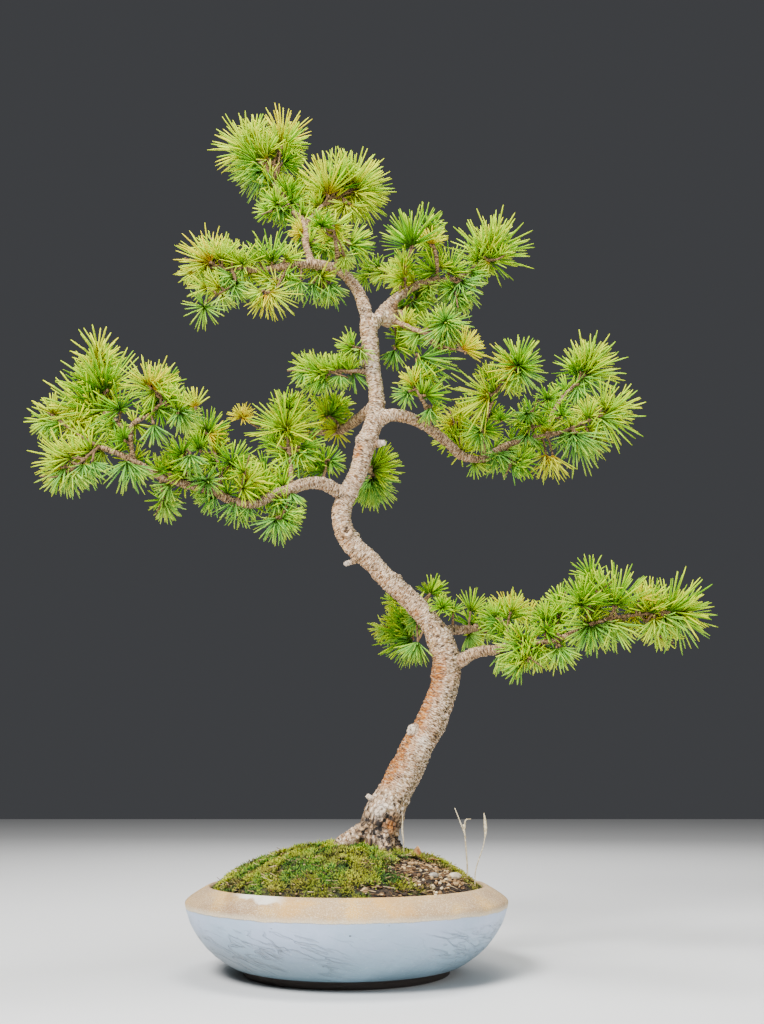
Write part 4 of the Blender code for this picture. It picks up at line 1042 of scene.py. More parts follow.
@dataclass(frozen=True)
class PotFinish:
    """Buff stoneware shoulder over a pale, satin glaze.

    Attributes:
        clay: the bare shoulder.
        ochre: its warm patches.
        crust: the pale line where the glaze starts, and lime on the rim.
        foot_clay_and_shadow: the bare clay under the belly, painted near-black as a shadow gap.
        glaze_high: the glaze below the shoulder.
        glaze_low: the glaze on the belly.
        glaze_line: the height at which the glaze starts.
        patches: stains on the shoulder, as (x, half width, colour).
    """

    clay: Colour = (0.47, 0.30, 0.135)
    ochre: Colour = (0.68, 0.39, 0.085)
    crust: Colour = (0.84, 0.72, 0.53)
    foot_clay_and_shadow: Colour = (0.045, 0.035, 0.03)
    glaze_high: Colour = (0.46, 0.55, 0.74)
    glaze_low: Colour = (0.16, 0.255, 0.32)
    glaze_line: float = 59.5 * MM
    patches: tuple[tuple[float, float, Colour], ...] = (
        (-0.092, 0.012, (0.24, 0.12, 0.05)),
        (-0.046, 0.020, (0.66, 0.34, 0.06)),
        (0.039, 0.022, (0.66, 0.34, 0.06)),
    )

    def material(self) -> bpy.types.Material:
        """Builds the pot's material."""
        board = Board("stoneware")
        place = board.place()
        _, _, z = board.split(place)
        grain = board.noise(place, 1000, 3)
        line = self.glaze_line
        height = z + (board.noise(place, 60, 3) - 0.5) * (3.5 * MM) + (grain - 0.5) * (1.6 * MM)
        bare = height.step(line - 0.5 * MM, line + 0.5 * MM)
        edge = height.step(line - 1.5 * MM, line) * height.step(line + 6 * MM, line + 0.5 * MM)
        stroke = self._strokes(board, place)
        pits = board.cells(place, 120).step(0.13, 0.05)
        pits = pits * board.noise(place, 34, 2).step(0.52, 0.60)
        glaze = self._glaze(board, place, stroke, pits)
        colour = board.mix(bare, glaze, self._clay(board, place, grain, edge))
        # Painted shadow: the bare clay of the foot ring goes near-black, as the shadow gap under
        # the belly.
        foot_clay_and_shadow = z.step(8.2 * MM, 7.0 * MM)
        colour = board.mix(foot_clay_and_shadow, colour, self.foot_clay_and_shadow)
        roughness = 0.36 + bare * 0.5 + foot_clay_and_shadow * 0.5
        skin = board.noise(place, 62, 5) * 0.8 - stroke * 1.2 - pits * 0.4
        relief = bare * (grain * 0.4 + 0.45) + (1 - bare) * skin
        return board.finish(colour, roughness, relief, 2.0 * MM)

    def _clay(self, board: Board, place: Signal, grain: Signal, edge: Signal) -> Signal:
        """The bare clay of the shoulder, with its stains, its lime and its pale lower edge."""
        x, _, z = board.split(place)
        warm = board.noise(place, 20, 4, 0.6).step(0.46, 0.62)
        clay = board.mix(warm, self.clay, self.ochre)
        dull = board.noise(place, 13, 5).step(0.50, 0.68)
        clay = board.mix(dull * 0.7, clay, (0.30, 0.18, 0.09))
        clay = board.mix(grain.step(0.48, 0.66) * 0.6, clay, self.crust)
        speck = board.noise(place, 1400, 2).step(0.58, 0.68)
        clay = board.mix(speck * 0.6, clay, (0.22, 0.14, 0.07))
        for middle, half, stain in self.patches:
            away = (x - middle) * (1 / half)
            near = 1 - away * away + (board.noise(place, 48, 5) - 0.5) * 5.0
            clay = board.mix(near.step(-0.2, 1.6) * 0.5, clay, stain)
        lime = (board.noise(place, 70, 5) + (z - 73.5 * MM) * 60.0).step(0.46, 0.60)
        lime = lime * x.step(-44 * MM, -62 * MM) * x.step(-100 * MM, -80 * MM)
        clay = board.mix(lime * 0.75, clay, (0.90, 0.86, 0.76))
        return board.mix(edge * (0.25 + grain * 0.9), clay, self.crust)

    def _glaze(self, board: Board, place: Signal, stroke: Signal, pits: Signal) -> Signal:
        """The glaze, darker low down, with clouds, pale specks, painted shade low on the left,
        furrows darkened by painted shade, and pits.
        """
        x, _, z = board.split(place)
        glaze = board.mix(z.step(58 * MM, 10 * MM), self.glaze_high, self.glaze_low)
        cloud = board.noise(place, 16, 4).step(0.40, 0.62)
        glaze = board.mix(cloud * 0.45, glaze, (0.29, 0.44, 0.56))
        speck = board.noise(place, 420, 2).step(0.66, 0.76)
        glaze = board.mix(speck * 0.35, glaze, (0.62, 0.66, 0.70))
        # Painted shade: the glaze low down on the left side is darkened.
        shade = x.step(-15 * MM, -125 * MM) * z.step(50 * MM, 15 * MM)
        glaze = board.mix(shade * 0.5, glaze, (0.15, 0.145, 0.14))
        # Painted shade in the furrows: they are darkened on top of their relief.
        glaze = board.mix(stroke * 0.34, glaze, (0.14, 0.14, 0.135))
        return board.mix(pits * 0.75, glaze, (0.10, 0.10, 0.10))

    @staticmethod
    def _strokes(board: Board, place: Signal) -> Signal:
        """Long, nearly level furrows in the glaze, most of them low down on the left."""
        x, y, z = board.split(place)
        flow, rise = x * 0.95 - z * 0.30, x * 0.30 + z * 0.95
        lines: Signal | float = 0.0
        for across, up in ((17.0, 90.0), (26.0, 140.0)):
            inputs = {"X": flow * across + up, "Y": y * across, "Z": rise * up}
            away = board.noise(board.node("ShaderNodeCombineXYZ", inputs=inputs), 1.0, 2) - 0.5
            lines = (away * away).step(0.0007, 0.00005) * 0.6 + lines
        where = board.noise(place, 19, 2).step(0.40, 0.50) * z.step(54 * MM, 44 * MM)
        left, right = x.step(20 * MM, -35 * MM), x.step(60 * MM, 95 * MM)
        return lines * where * (left * 0.9 + right * 0.5 + 0.08)


@dataclass(frozen=True)
class BarkFinish:
    """Flaky, pinkish-grey larch bark, browner on thin wood, and craggy at the foot.

    Attributes:
        pale: the thin, papery skin of the flakes.
        tan: the bark under them.
        chalk: the whitest flakes.
        speck: the short, dark marks across the wood.
        crevice_shade_and_stain: near-black, painted shade in the gaps, knot holes and ring cracks,
            and the darkest stains.
        rust: the streak where old bark has come off.
        twig: young wood.
        lichen_and_shade: the greenish side, lichen with painted shade on the right.
    """

    pale: Colour = (0.60, 0.42, 0.26)
    tan: Colour = (0.26, 0.135, 0.055)
    chalk: Colour = (0.93, 0.80, 0.66)
    speck: Colour = (0.035, 0.020, 0.009)
    crevice_shade_and_stain: Colour = (0.010, 0.006, 0.004)
    rust: Colour = (0.26, 0.070, 0.008)
    twig: Colour = (0.13, 0.058, 0.018)
    lichen_and_shade: Colour = (0.17, 0.125, 0.04)

    def material(self) -> bpy.types.Material:
        """Builds the bark of the trunk and branches."""
        board = Board("larch_bark")
        grain = board.vector("grain")
        streak, crag, young, cut = board.marks("wear")
        white, dark, green, warm = board.marks("stain")
        bands = board.stretch(grain, (0.45, 0.45, 1.9))
        flakes = board.noise(bands, 440, 5, 0.4)
        fine = board.noise(board.stretch(grain, (0.5, 0.5, 1.7)), 760, 2)
        mottle = board.noise(grain, 130, 5)

        colour = board.mix(flakes.step(0.41, 0.56), self.tan, self.pale)
        colour = board.mix(mottle.step(0.45, 0.62) * 0.35, colour, (0.52, 0.33, 0.19))
        # Lichen and painted shade: the right side of the trunk goes greenish and darker.
        colour = board.mix(green * flakes.step(0.58, 0.44) * 0.85, colour, self.lichen_and_shade)
        sunned = board.mix(flakes.step(0.38, 0.58), (0.30, 0.115, 0.03), (0.72, 0.40, 0.16))
        colour = board.mix(warm * 0.7, colour, sunned)
        limb = board.mix(flakes.step(0.40, 0.60), self.twig, (0.50, 0.29, 0.12))
        colour = board.mix(young * 0.85, colour, limb)
        old = board.mix(mottle.step(0.42, 0.60), (0.13, 0.06, 0.024), (0.56, 0.36, 0.18))
        colour = board.mix(crag * (1 - streak) * 0.85, colour, old)
        colour = board.mix(white * flakes.step(0.36, 0.48) * 0.8, colour, self.chalk)
        chalky = 0.75 - crag * 0.35 - young * 0.5 - warm * 0.1
        colour = board.mix(fine.step(0.55, 0.63) * chalky, colour, self.chalk)
        rust = streak * (0.45 + board.noise(bands, 300, 4).step(0.40, 0.54) * 0.7)
        rusty = board.mix(flakes.step(0.40, 0.62), self.rust, (0.55, 0.215, 0.035))
        colour = board.mix(rust, colour, rusty)
        # More dark specks on the greenish side, part of its painted shade.
        specks = fine.step(0.46, 0.38) * (0.7 + green * 0.3 + young * 0.2)
        marks = board.cells(board.stretch(grain, (0.35, 0.35, 2.0)), 330).step(0.32, 0.18)
        specks = specks + marks * board.noise(grain, 70, 3).step(0.42, 0.54)
        colour = board.mix(specks * (1 - cut * 0.6), colour, self.speck)
        cracks = board.cells(grain, 190, "DISTANCE_TO_EDGE").step(0.22, 0.06)
        cracks = cracks * mottle.step(0.62, 0.46)
        sawn = board.mix(flakes.step(0.35, 0.6), (0.40, 0.33, 0.27), self.chalk)
        colour = board.mix(cut * 0.7, colour, sawn)
        # Near-black over the foot's cracks and the dark channel: painted shade in crevices, knot
        # holes and ring cracks, and real dark stains.
        colour = board.mix(crag * cracks + dark * fine.step(0.62, 0.42), colour, self.crevice_shade_and_stain)

        relief = flakes * 0.55 + fine * 0.35 - marks * 0.3 + mottle * crag
        return board.finish(colour, 0.88, relief, 1.5 * MM)


@dataclass(frozen=True)
class TwigFinish:
    """Young wood under the needles, with the spurs that they grow from.

    Attributes:
        dark: its hollows, darkened as painted shade.
        light: its ridges.
    """

    dark: Colour = (0.055, 0.028, 0.010)
    light: Colour = (0.27, 0.155, 0.06)

    def material(self) -> bpy.types.Material:
        """Builds the twigs' material."""
        board = Board("young_twig")
        place = board.place()
        rings = board.noise(place, 500, 4)
        # Painted shade: the hollows of the relief take the dark colour.
        colour = board.mix(rings.step(0.36, 0.62), self.dark, self.light)
        return board.finish(colour, 0.8, rings, 0.5 * MM)


@dataclass(frozen=True)
class NeedleFinish:
    """Soft larch needles, from green through lime to gold, mint underneath, with pale points.

    Attributes:
        ramp: the colours, from the greenest tuft to the most golden.
        root: at the spur, in a green tuft and in a golden one; the green one is dark as painted
            shade inside the tuft.
        mint: the underside.
        tip: the pale points.
        blush: the warmer ones among them.
    """

    ramp: tuple[tuple[float, Colour], ...] = (
        (0.0, (0.09, 0.30, 0.0)),
        (0.26, (0.28, 0.56, 0.0)),
        (0.50, (0.51, 0.66, 0.0)),
        (0.78, (0.62, 0.62, 0.0)),
        (1.0, (0.70, 0.56, 0.0)),
    )
    root: tuple[Colour, Colour] = ((0.045, 0.13, 0.0), (0.52, 0.26, 0.0))
    mint: Colour = (0.20, 0.48, 0.11)
    tip: Colour = (0.70, 0.78, 0.0)
    blush: Colour = (0.73, 0.70, 0.0)

    def material(self) -> bpy.types.Material:
        """Builds the needles' material."""
        board = Board("larch_needle")
        reach, tone, tint, under = board.marks("growth")
        hue = tint + (tone - 0.5) * 0.42
        colour = board.node("ShaderNodeValToRGB", {"stops": list(self.ramp)}, {0: hue}, "Color")
        colour = board.mix(under * 0.6, colour, self.mint)
        # Painted shade inside green tufts: needles darken towards the spur; golden tufts turn
        # orange there.
        root = board.mix(tint.step(0.30, 0.75), *self.root)
        colour = board.mix(reach.step(0.46, 0.05) * 0.85, colour, root)
        point = board.mix((tint * tone).step(0.25, 0.55), self.tip, self.blush)
        colour = board.mix(reach.step(0.50, 1.0) * (0.08 + tone * 0.5), colour, point)
        return board.finish(colour, 0.5, plain={"Specular IOR Level": 0.08})


@dataclass(frozen=True)
class MossFinish:
    """Bright green moss with yellow tips and brown, dry ends.

    Attributes:
        deep_shade: near-black painted shade between the shoots.
        green: the usual green.
        yellow: the driest shoots that still grow.
        tip: the lit ends of the leaves.
        brown: dying shoots.
        straw: dead ones.
    """

    deep_shade: Colour = (0.005, 0.008, 0.0)
    green: Colour = (0.060, 0.21, 0.0)
    yellow: Colour = (0.31, 0.34, 0.0)
    tip: Colour = (0.76, 0.84, 0.0)
    brown: Colour = (0.13, 0.06, 0.012)
    straw: Colour = (0.50, 0.31, 0.09)

    def material(self) -> bpy.types.Material:
        """Builds the material of the moss shoots."""
        board = Board("moss_shoot")
        reach, tone, tint, dry = board.marks("growth")
        colour = board.mix(tint.step(0.30, 0.70), self.green, self.yellow)
        colour = board.mix(reach.step(0.58, 1.0) * (0.15 + tone * 0.8), colour, self.tip)
        colour = board.mix(dry, colour, board.mix(tone.step(0.3, 0.9), self.brown, self.straw))
        # Painted shade: each leaf goes near-black towards its base, between the shoots.
        colour = board.mix(reach.step(0.70, 0.22) * 0.95, colour, self.deep_shade)
        return board.finish(colour, 0.7)

    def mat(self) -> bpy.types.Material:
        """Builds the material of the mat under the shoots, near-black as painted shade under them.
        """
        board = Board("moss_mat")
        place = board.place()
        wool = board.noise(place, 500, 5)
        # Painted shade: the mat is near-black where the shoots shade it; the worn patches are
        # brown.
        colour = board.mix(wool.step(0.4, 0.65), (0.006, 0.007, 0.002), (0.04, 0.055, 0.005))
        worn = board.noise(place, 60, 3).step(0.5, 0.7)
        colour = board.mix(worn * 0.7, colour, (0.10, 0.06, 0.03))
        return board.finish(colour, 0.95, wool, 2 * MM)


@dataclass(frozen=True)
class EarthFinish:
    """Dark, damp bonsai soil, and the loose bits on it.

    Attributes:
        damp: the soil's darks.
        dry: its lights.
        bits: the colours of the loose bits, from the darkest to the palest.
    """

    damp: Colour = (0.006, 0.004, 0.002)
    dry: Colour = (0.05, 0.028, 0.013)
    bits: tuple[tuple[float, Colour], ...] = (
        (0.0, (0.008, 0.005, 0.003)),
        (0.34, (0.035, 0.018, 0.008)),
        (0.56, (0.13, 0.062, 0.022)),
        (0.74, (0.34, 0.19, 0.07)),
        (0.88, (0.58, 0.41, 0.20)),
        (1.0, (0.86, 0.70, 0.44)),
    )

    def material(self) -> bpy.types.Material:
        """Builds the soil's material."""
        board = Board("damp_soil")
        place = board.place()
        crumbs = board.noise(place, 420, 6)
        grit = board.cells(place, 480)
        colour = board.mix(crumbs.step(0.35, 0.68), self.damp, self.dry)
        colour = board.mix(grit.step(0.18, 0.05) * 0.6, colour, (0.26, 0.17, 0.09))
        return board.finish(colour, 0.95, crumbs, 2.2 * MM)

    def grit(self) -> bpy.types.Material:
        """Builds the material of grains, chips and needles on the soil."""
        board = Board("grit")
        _, tone, _, _ = board.marks("growth")
        base = board.node("ShaderNodeValToRGB", {"stops": list(self.bits)}, {0: tone}, "Color")
        rough = board.noise(board.place(), 700, 3)
        colour = board.mix(rough.step(0.45, 0.7) * 0.5, base, (0.03, 0.018, 0.01))
        return board.finish(colour, 0.9, rough, 0.6 * MM)


@dataclass(frozen=True)
class MottledFinish:
    """A plain natural surface in two colours, such as a stone or a dry leaf.

    Attributes:
        name: the material's name.
        low: its darker colour.
        high: its lighter colour.
        scale: how fine the pattern is.
        relief: how deep it is.
        roughness: its roughness.
    """

    name: str
    low: Colour
    high: Colour
    scale: float = 200.0
    relief: float = 0.5 * MM
    roughness: float = 0.85

    def material(self) -> bpy.types.Material:
        """Builds the material."""
        board = Board(self.name)
        pattern = board.noise(board.place(), self.scale, 6, 0.5)
        colour = board.mix(pattern.step(0.34, 0.66), self.low, self.high)
        return board.finish(colour, self.roughness, pattern, self.relief)


# Wood


@dataclass
class Route:
    """A smooth line of wood through its knots.

    Attributes:
        knots: (x, y, z, radius) in millimetres.
        step: how far apart the smoothed points are, in metres.
        line: the smoothed points, (x, y, z, radius) in metres.
        along: how far along each of them is.
    """

    knots: list[Knot]
    step: float = 4 * MM
    line: np.ndarray = field(init=False)
    along: np.ndarray = field(init=False)

    def __post_init__(self) -> None:
        """Smooths the knots with a Catmull-Rom spline."""
        given = np.array(self.knots, float) * MM
        padded = np.vstack([2 * given[0] - given[1], given, 2 * given[-1] - given[-2]])
        rows = []
        for i in range(len(given) - 1):
            p0, p1, p2, p3 = padded[i : i + 4]
            count = max(2, round(float(np.linalg.norm((p2 - p1)[:3])) / self.step))
            for t in np.arange(count) / count:
                bent = (2 * p0 - 5 * p1 + 4 * p2 - p3) * t**2
                twisted = (3 * p1 - p0 - 3 * p2 + p3) * t**3
                rows.append(0.5 * (2 * p1 + (p2 - p0) * t + bent + twisted))
        rows.append(given[-1])
        self.line = np.array(rows)
        spans = np.linalg.norm(np.diff(self.line[:, :3], axis=0), axis=1)
        self.along = np.concatenate([[0.0], np.cumsum(spans)])

    @property
    def length(self) -> float:
        """How long the line is, in metres."""
        return float(self.along[-1])

    def at(self, distance: float) -> tuple[Vector, Vector, float]:
        """A point on the line.

        Args:
            distance: how far along it is, in metres.

        Returns:
            Its place, the way that the line runs there, and its radius.
        """
        i = int(np.clip(np.searchsorted(self.along, distance, "right") - 1, 0, len(self.line) - 2))
        span = max(self.along[i + 1] - self.along[i], 1e-9)
        share = float(np.clip((distance - self.along[i]) / span, 0, 1))
        here = self.line[i] * (1 - share) + self.line[i + 1] * share
        way = Vector(self.line[i + 1, :3] - self.line[i, :3]).normalized()
        return Vector(here[:3]), way, float(here[3])

    def frames(self) -> np.ndarray:
        """A side direction at each point, carried along without twist."""
        ways = np.gradient(self.line[:, :3], axis=0)
        ways /= np.linalg.norm(ways, axis=1)[:, None]
        side = np.array(Vector(ways[0]).orthogonal().normalized())
        sides = []
        for way in ways:
            side = side - way * side.dot(way)
            side = side / np.linalg.norm(side)
            sides.append(side)
        return np.array(sides)

    def tube(self, name: str, level: int) -> bpy.types.Object:
        """A round tube along the line.

        Args:
            name: the object's name.
            level: 4 sides, and 2 more per level.

        Returns:
            The tube, closed at both ends.
        """
        Bench.pick()
        bpy.ops.curve.primitive_nurbs_path_add()
        obj = Bench.named(name)
        curve = obj.data
        curve.splines.clear()
        curve.dimensions = "3D"
        curve.twist_mode = "MINIMUM"
        curve.bevel_depth = 1.0
        curve.bevel_resolution = level
        curve.use_fill_caps = True
        spline = curve.splines.new("POLY")
        spline.points.add(len(self.line) - 1)
        for point, row in zip(spline.points, self.line):
            point.co = (*row[:3], 1.0)
            point.radius = row[3]
        Bench.pick(obj)
        bpy.ops.object.convert(target="MESH")
        return bpy.context.active_object


@dataclass
class Wood:
    """The trunk, its roots, its cut snags and its limbs, fused into one skin of bark.

    Attributes:
        voxel: the size of the skin's faces.
        crag_top: how far up the craggy foot reaches.
        streak_low: where the rust streak starts.
        streak_high: where it ends.
        flake: how far flakes stand out.
        crag: how deep the foot's crevices are.
    """

    voxel: float = 1.3 * MM
    crag_top: float = 146 * MM
    streak_low: float = 160 * MM
    streak_high: float = 300 * MM
    flake: float = 1.5 * MM
    crag: float = 3.4 * MM

    def routes(self) -> list[tuple[str, Route]]:
        """Every line of wood, with its kind."""
        found = [("trunk", Route(TRUNK))]
        found += [("root", Route(knots)) for knots in ROOTS.values()]
        found += [("snag", Route(knots)) for knots in SNAGS.values()]
        found += [("limb", Route(knots)) for knots in LIMBS.values()]
        found += [("limb", route) for route in SprayTwigs.stubs()]
        return found

    def build(self) -> bpy.types.Object:
        """Builds the skin, shapes its bark and dresses it.

        Returns:
            The finished piece.
        """
        routes = self.routes()
        tubes = [route.tube(f"{kind}_tube", 4) for kind, route in routes]
        wood = Bench.join("bark_skin", tubes)
        Bench.outward(wood, 1e-5)
        Bench.modify(wood, "REMESH", mode="VOXEL", voxel_size=self.voxel, use_smooth_shade=True)
        Bench.modify(wood, "SMOOTH", factor=0.5, iterations=3)
        grain, radius = self._grain(wood, routes)
        wear = self._wear(wood, routes, radius)
        stain = self._stain(wood, wear)
        self._shape(wood, grain, wear, radius)
        layer = wood.data.attributes.new("grain", "FLOAT_VECTOR", "POINT")
        layer.data.foreach_set("vector", grain.astype(np.float32).ravel())
        Bench.paint(wood, "wear", wear)
        Bench.paint(wood, "stain", stain)
        Bench.smooth(wood)
        Bench.dress(wood, BarkFinish().material())
        Bench.hand_over(wood, Slot.BARK, "trunk_and_branches")
        return wood

    @staticmethod
    def _away(points: np.ndarray, place: list[float], reach: float) -> np.ndarray:
        """How far each point is from a mark, where 1 is the mark's reach."""
        return np.linalg.norm(points - np.array(place) * MM, axis=1) / (reach * MM)

    @staticmethod
    def _grain(
        wood: bpy.types.Object, routes: list[tuple[str, Route]]
    ) -> tuple[np.ndarray, np.ndarray]:
        """Coordinates that run with the wood, across, across and along, and its radius."""
        points = Bench.points(wood)
        best = np.full(len(points), np.inf)
        grain = np.zeros((len(points), 3))
        radius = np.zeros(len(points))
        for number, (_, route) in enumerate(routes):
            sides = route.frames()
            line = route.line
            for i in range(len(line) - 1):
                a, b = line[i, :3], line[i + 1, :3]
                span = b - a
                length = np.linalg.norm(span)
                reach = line[i, 3] * 1.6 + length + 4 * MM
                near = np.where(np.abs(points - (a + b) / 2).max(1) < reach)[0]
                if not len(near):
                    continue
                offset = points[near] - a
                share = np.clip(offset @ span / length**2, 0, 1)
                away = offset - share[:, None] * span
                thick = line[i, 3] * (1 - share) + line[i + 1, 3] * share
                gap = np.linalg.norm(away, axis=1) - thick
                wins = gap < best[near]
                chosen = near[wins]
                best[chosen] = gap[wins]
                radius[chosen] = thick[wins]
                way = span / length
                across = np.cross(way, sides[i])
                grain[chosen, 0] = away[wins] @ sides[i]
                grain[chosen, 1] = away[wins] @ across
                grain[chosen, 2] = route.along[i] + share[wins] * length + number * 0.7
        return grain, radius

    def _wear(
        self, wood: bpy.types.Object, routes: list[tuple[str, Route]], radius: np.ndarray
    ) -> np.ndarray:
        """How rusty, craggy, young and cut the bark is, for each vertex."""
        points = Bench.points(wood)
        normals = Bench.normals(wood)
        x, _, z = points.T
        heavy = np.clip((radius - 9 * MM) / (3 * MM), 0, 1)
        left = np.clip((-normals[:, 0] - 0.25 * normals[:, 1] - 0.30) / 0.35, 0, 1)
        band = np.clip((z - self.streak_low) / (15 * MM), 0, 1)
        band *= np.clip((self.streak_high - z) / (20 * MM), 0, 1)
        ragged = np.array([noise.noise(Vector(p) * 70) for p in points])
        streak = heavy * band * np.clip(left + 0.45 * ragged, 0, 1)
        for kind, *place, reach, strength in MARKS:
            if kind == "rust":
                away = self._away(points, place, reach)
                streak = np.maximum(streak, strength * np.exp(-(away**2)))
        crag = np.clip((self.crag_top - z + 14 * MM * ragged) / (12 * MM), 0, 1)
        crag *= np.clip((x - 5 * MM) / (6 * MM), 0, 1)
        young = np.clip((7.5 * MM - radius) / (3.5 * MM), 0, 1)
        cut = np.zeros(len(points))
        for kind, route in routes:
            if kind == "snag" and route.line[-1, 3] < 4 * MM:
                away = np.linalg.norm(points - route.line[-1, :3], axis=1)
                cut = np.maximum(cut, np.clip(2.2 - away / (route.line[-1, 3] * 1.6), 0, 1))
        return np.column_stack([streak, crag, young, cut])

    def _stain(self, wood: bpy.types.Object, wear: np.ndarray) -> np.ndarray:
        """How white, dark, green and sunned the bark is, for each vertex, with painted shade in its
        dark and its green.
        """
        points = Bench.points(wood)
        normals = Bench.normals(wood)
        ragged = np.array([noise.noise(Vector(p) * 90) for p in points])
        layers = {"pale": np.zeros(len(points)), "dark": np.zeros(len(points))}
        for kind, *place, reach, strength in MARKS:
            away = self._away(points, place, reach)
            # Painted shade: the hole of a knot eye is darkened.
            if kind == "eye":
                hole = np.exp(-((away / 0.45) ** 4))
                layers["dark"] = np.maximum(layers["dark"], strength * 1.6 * hole)
            # Painted shade: a dark line along each ring's crack, under its swelling.
            elif kind == "ring":
                above = points[:, 2] - place[2] * MM - 2 * MM * ragged
                line = np.exp(-((above / (0.9 * MM)) ** 2))
                layers["dark"] = np.maximum(layers["dark"], strength * line * (away < 1))
            elif kind in layers:
                layers[kind] = np.maximum(layers[kind], strength * np.exp(-(away**2)))
        low = np.clip((320 * MM - points[:, 2]) / (40 * MM), 0, 1)
        # Green: lichen on the right side and, high up, on the tops, with painted shade on the right
        # side.
        right = normals[:, 0] * (0.4 + 0.6 * low) + normals[:, 2] * 0.45 * (1 - low)
        green = np.clip((right - 0.15 + 0.5 * ragged) / 0.5, 0, 1) * (1 - wear[:, 0])
        warm = -normals[:, 0] * 0.5 - normals[:, 2] * 0.5 - 0.10 + 0.4 * ragged
        warm = np.clip(warm / 0.5, 0, 1) * (1 - low * 0.6)
        return np.clip(np.column_stack([layers["pale"], layers["dark"], green, warm]), 0, 1)

    def _shape(
        self, wood: bpy.types.Object, grain: np.ndarray, wear: np.ndarray, radius: np.ndarray
    ) -> None:
        """Pushes the skin in and out into flakes, knobs, knots and crevices."""
        points = Bench.points(wood)
        normals = Bench.normals(wood)
        push = np.zeros(len(points))
        for kind, *place, reach, strength in MARKS:
            away = self._away(points, place, reach)
            if kind == "lump":
                push += strength * MM * np.exp(-(away**2))
            elif kind == "eye":
                ring = np.exp(-(((away - 1) / 0.45) ** 2))
                push += strength * MM * (ring * 0.9 - 1.9 * np.exp(-((away / 0.5) ** 2)))
            elif kind == "ring":
                swell = np.exp(-(((points[:, 2] - place[2] * MM - 2.6 * MM) / (2.2 * MM)) ** 2))
                push += strength * 1.6 * MM * swell * (away < 1)
        for i, (here, (_, crag, young, cut)) in enumerate(zip(grain, wear)):
            across = Vector(here) * 110
            bands = Vector((here[0] * 150, here[1] * 150, here[2] * 420))
            lump = noise.noise(across * 0.45) + 0.6 * noise.noise(across * 1.1)
            flake = noise.noise(bands) + 0.6 * noise.noise(bands * 2.1)
            rough = noise.turbulence(across * 2.5, 3, False)
            fine = self.flake * min(1.0, 0.35 + radius[i] / (14 * MM)) * (1 - cut * 0.5)
            push[i] += lump * radius[i] * (0.09 + young * 0.07) + flake * fine * 0.7
            push[i] += crag * self.crag * (rough - 0.55) * 0.8
            knob = max(0.0, 1 - noise.voronoi(Vector(here) * 85)[0][0] / 0.42)
            push[i] += young * knob * min(1.6 * MM, radius[i] * 0.45)
        Bench.move(wood, points + normals * push[:, None])


# Needles


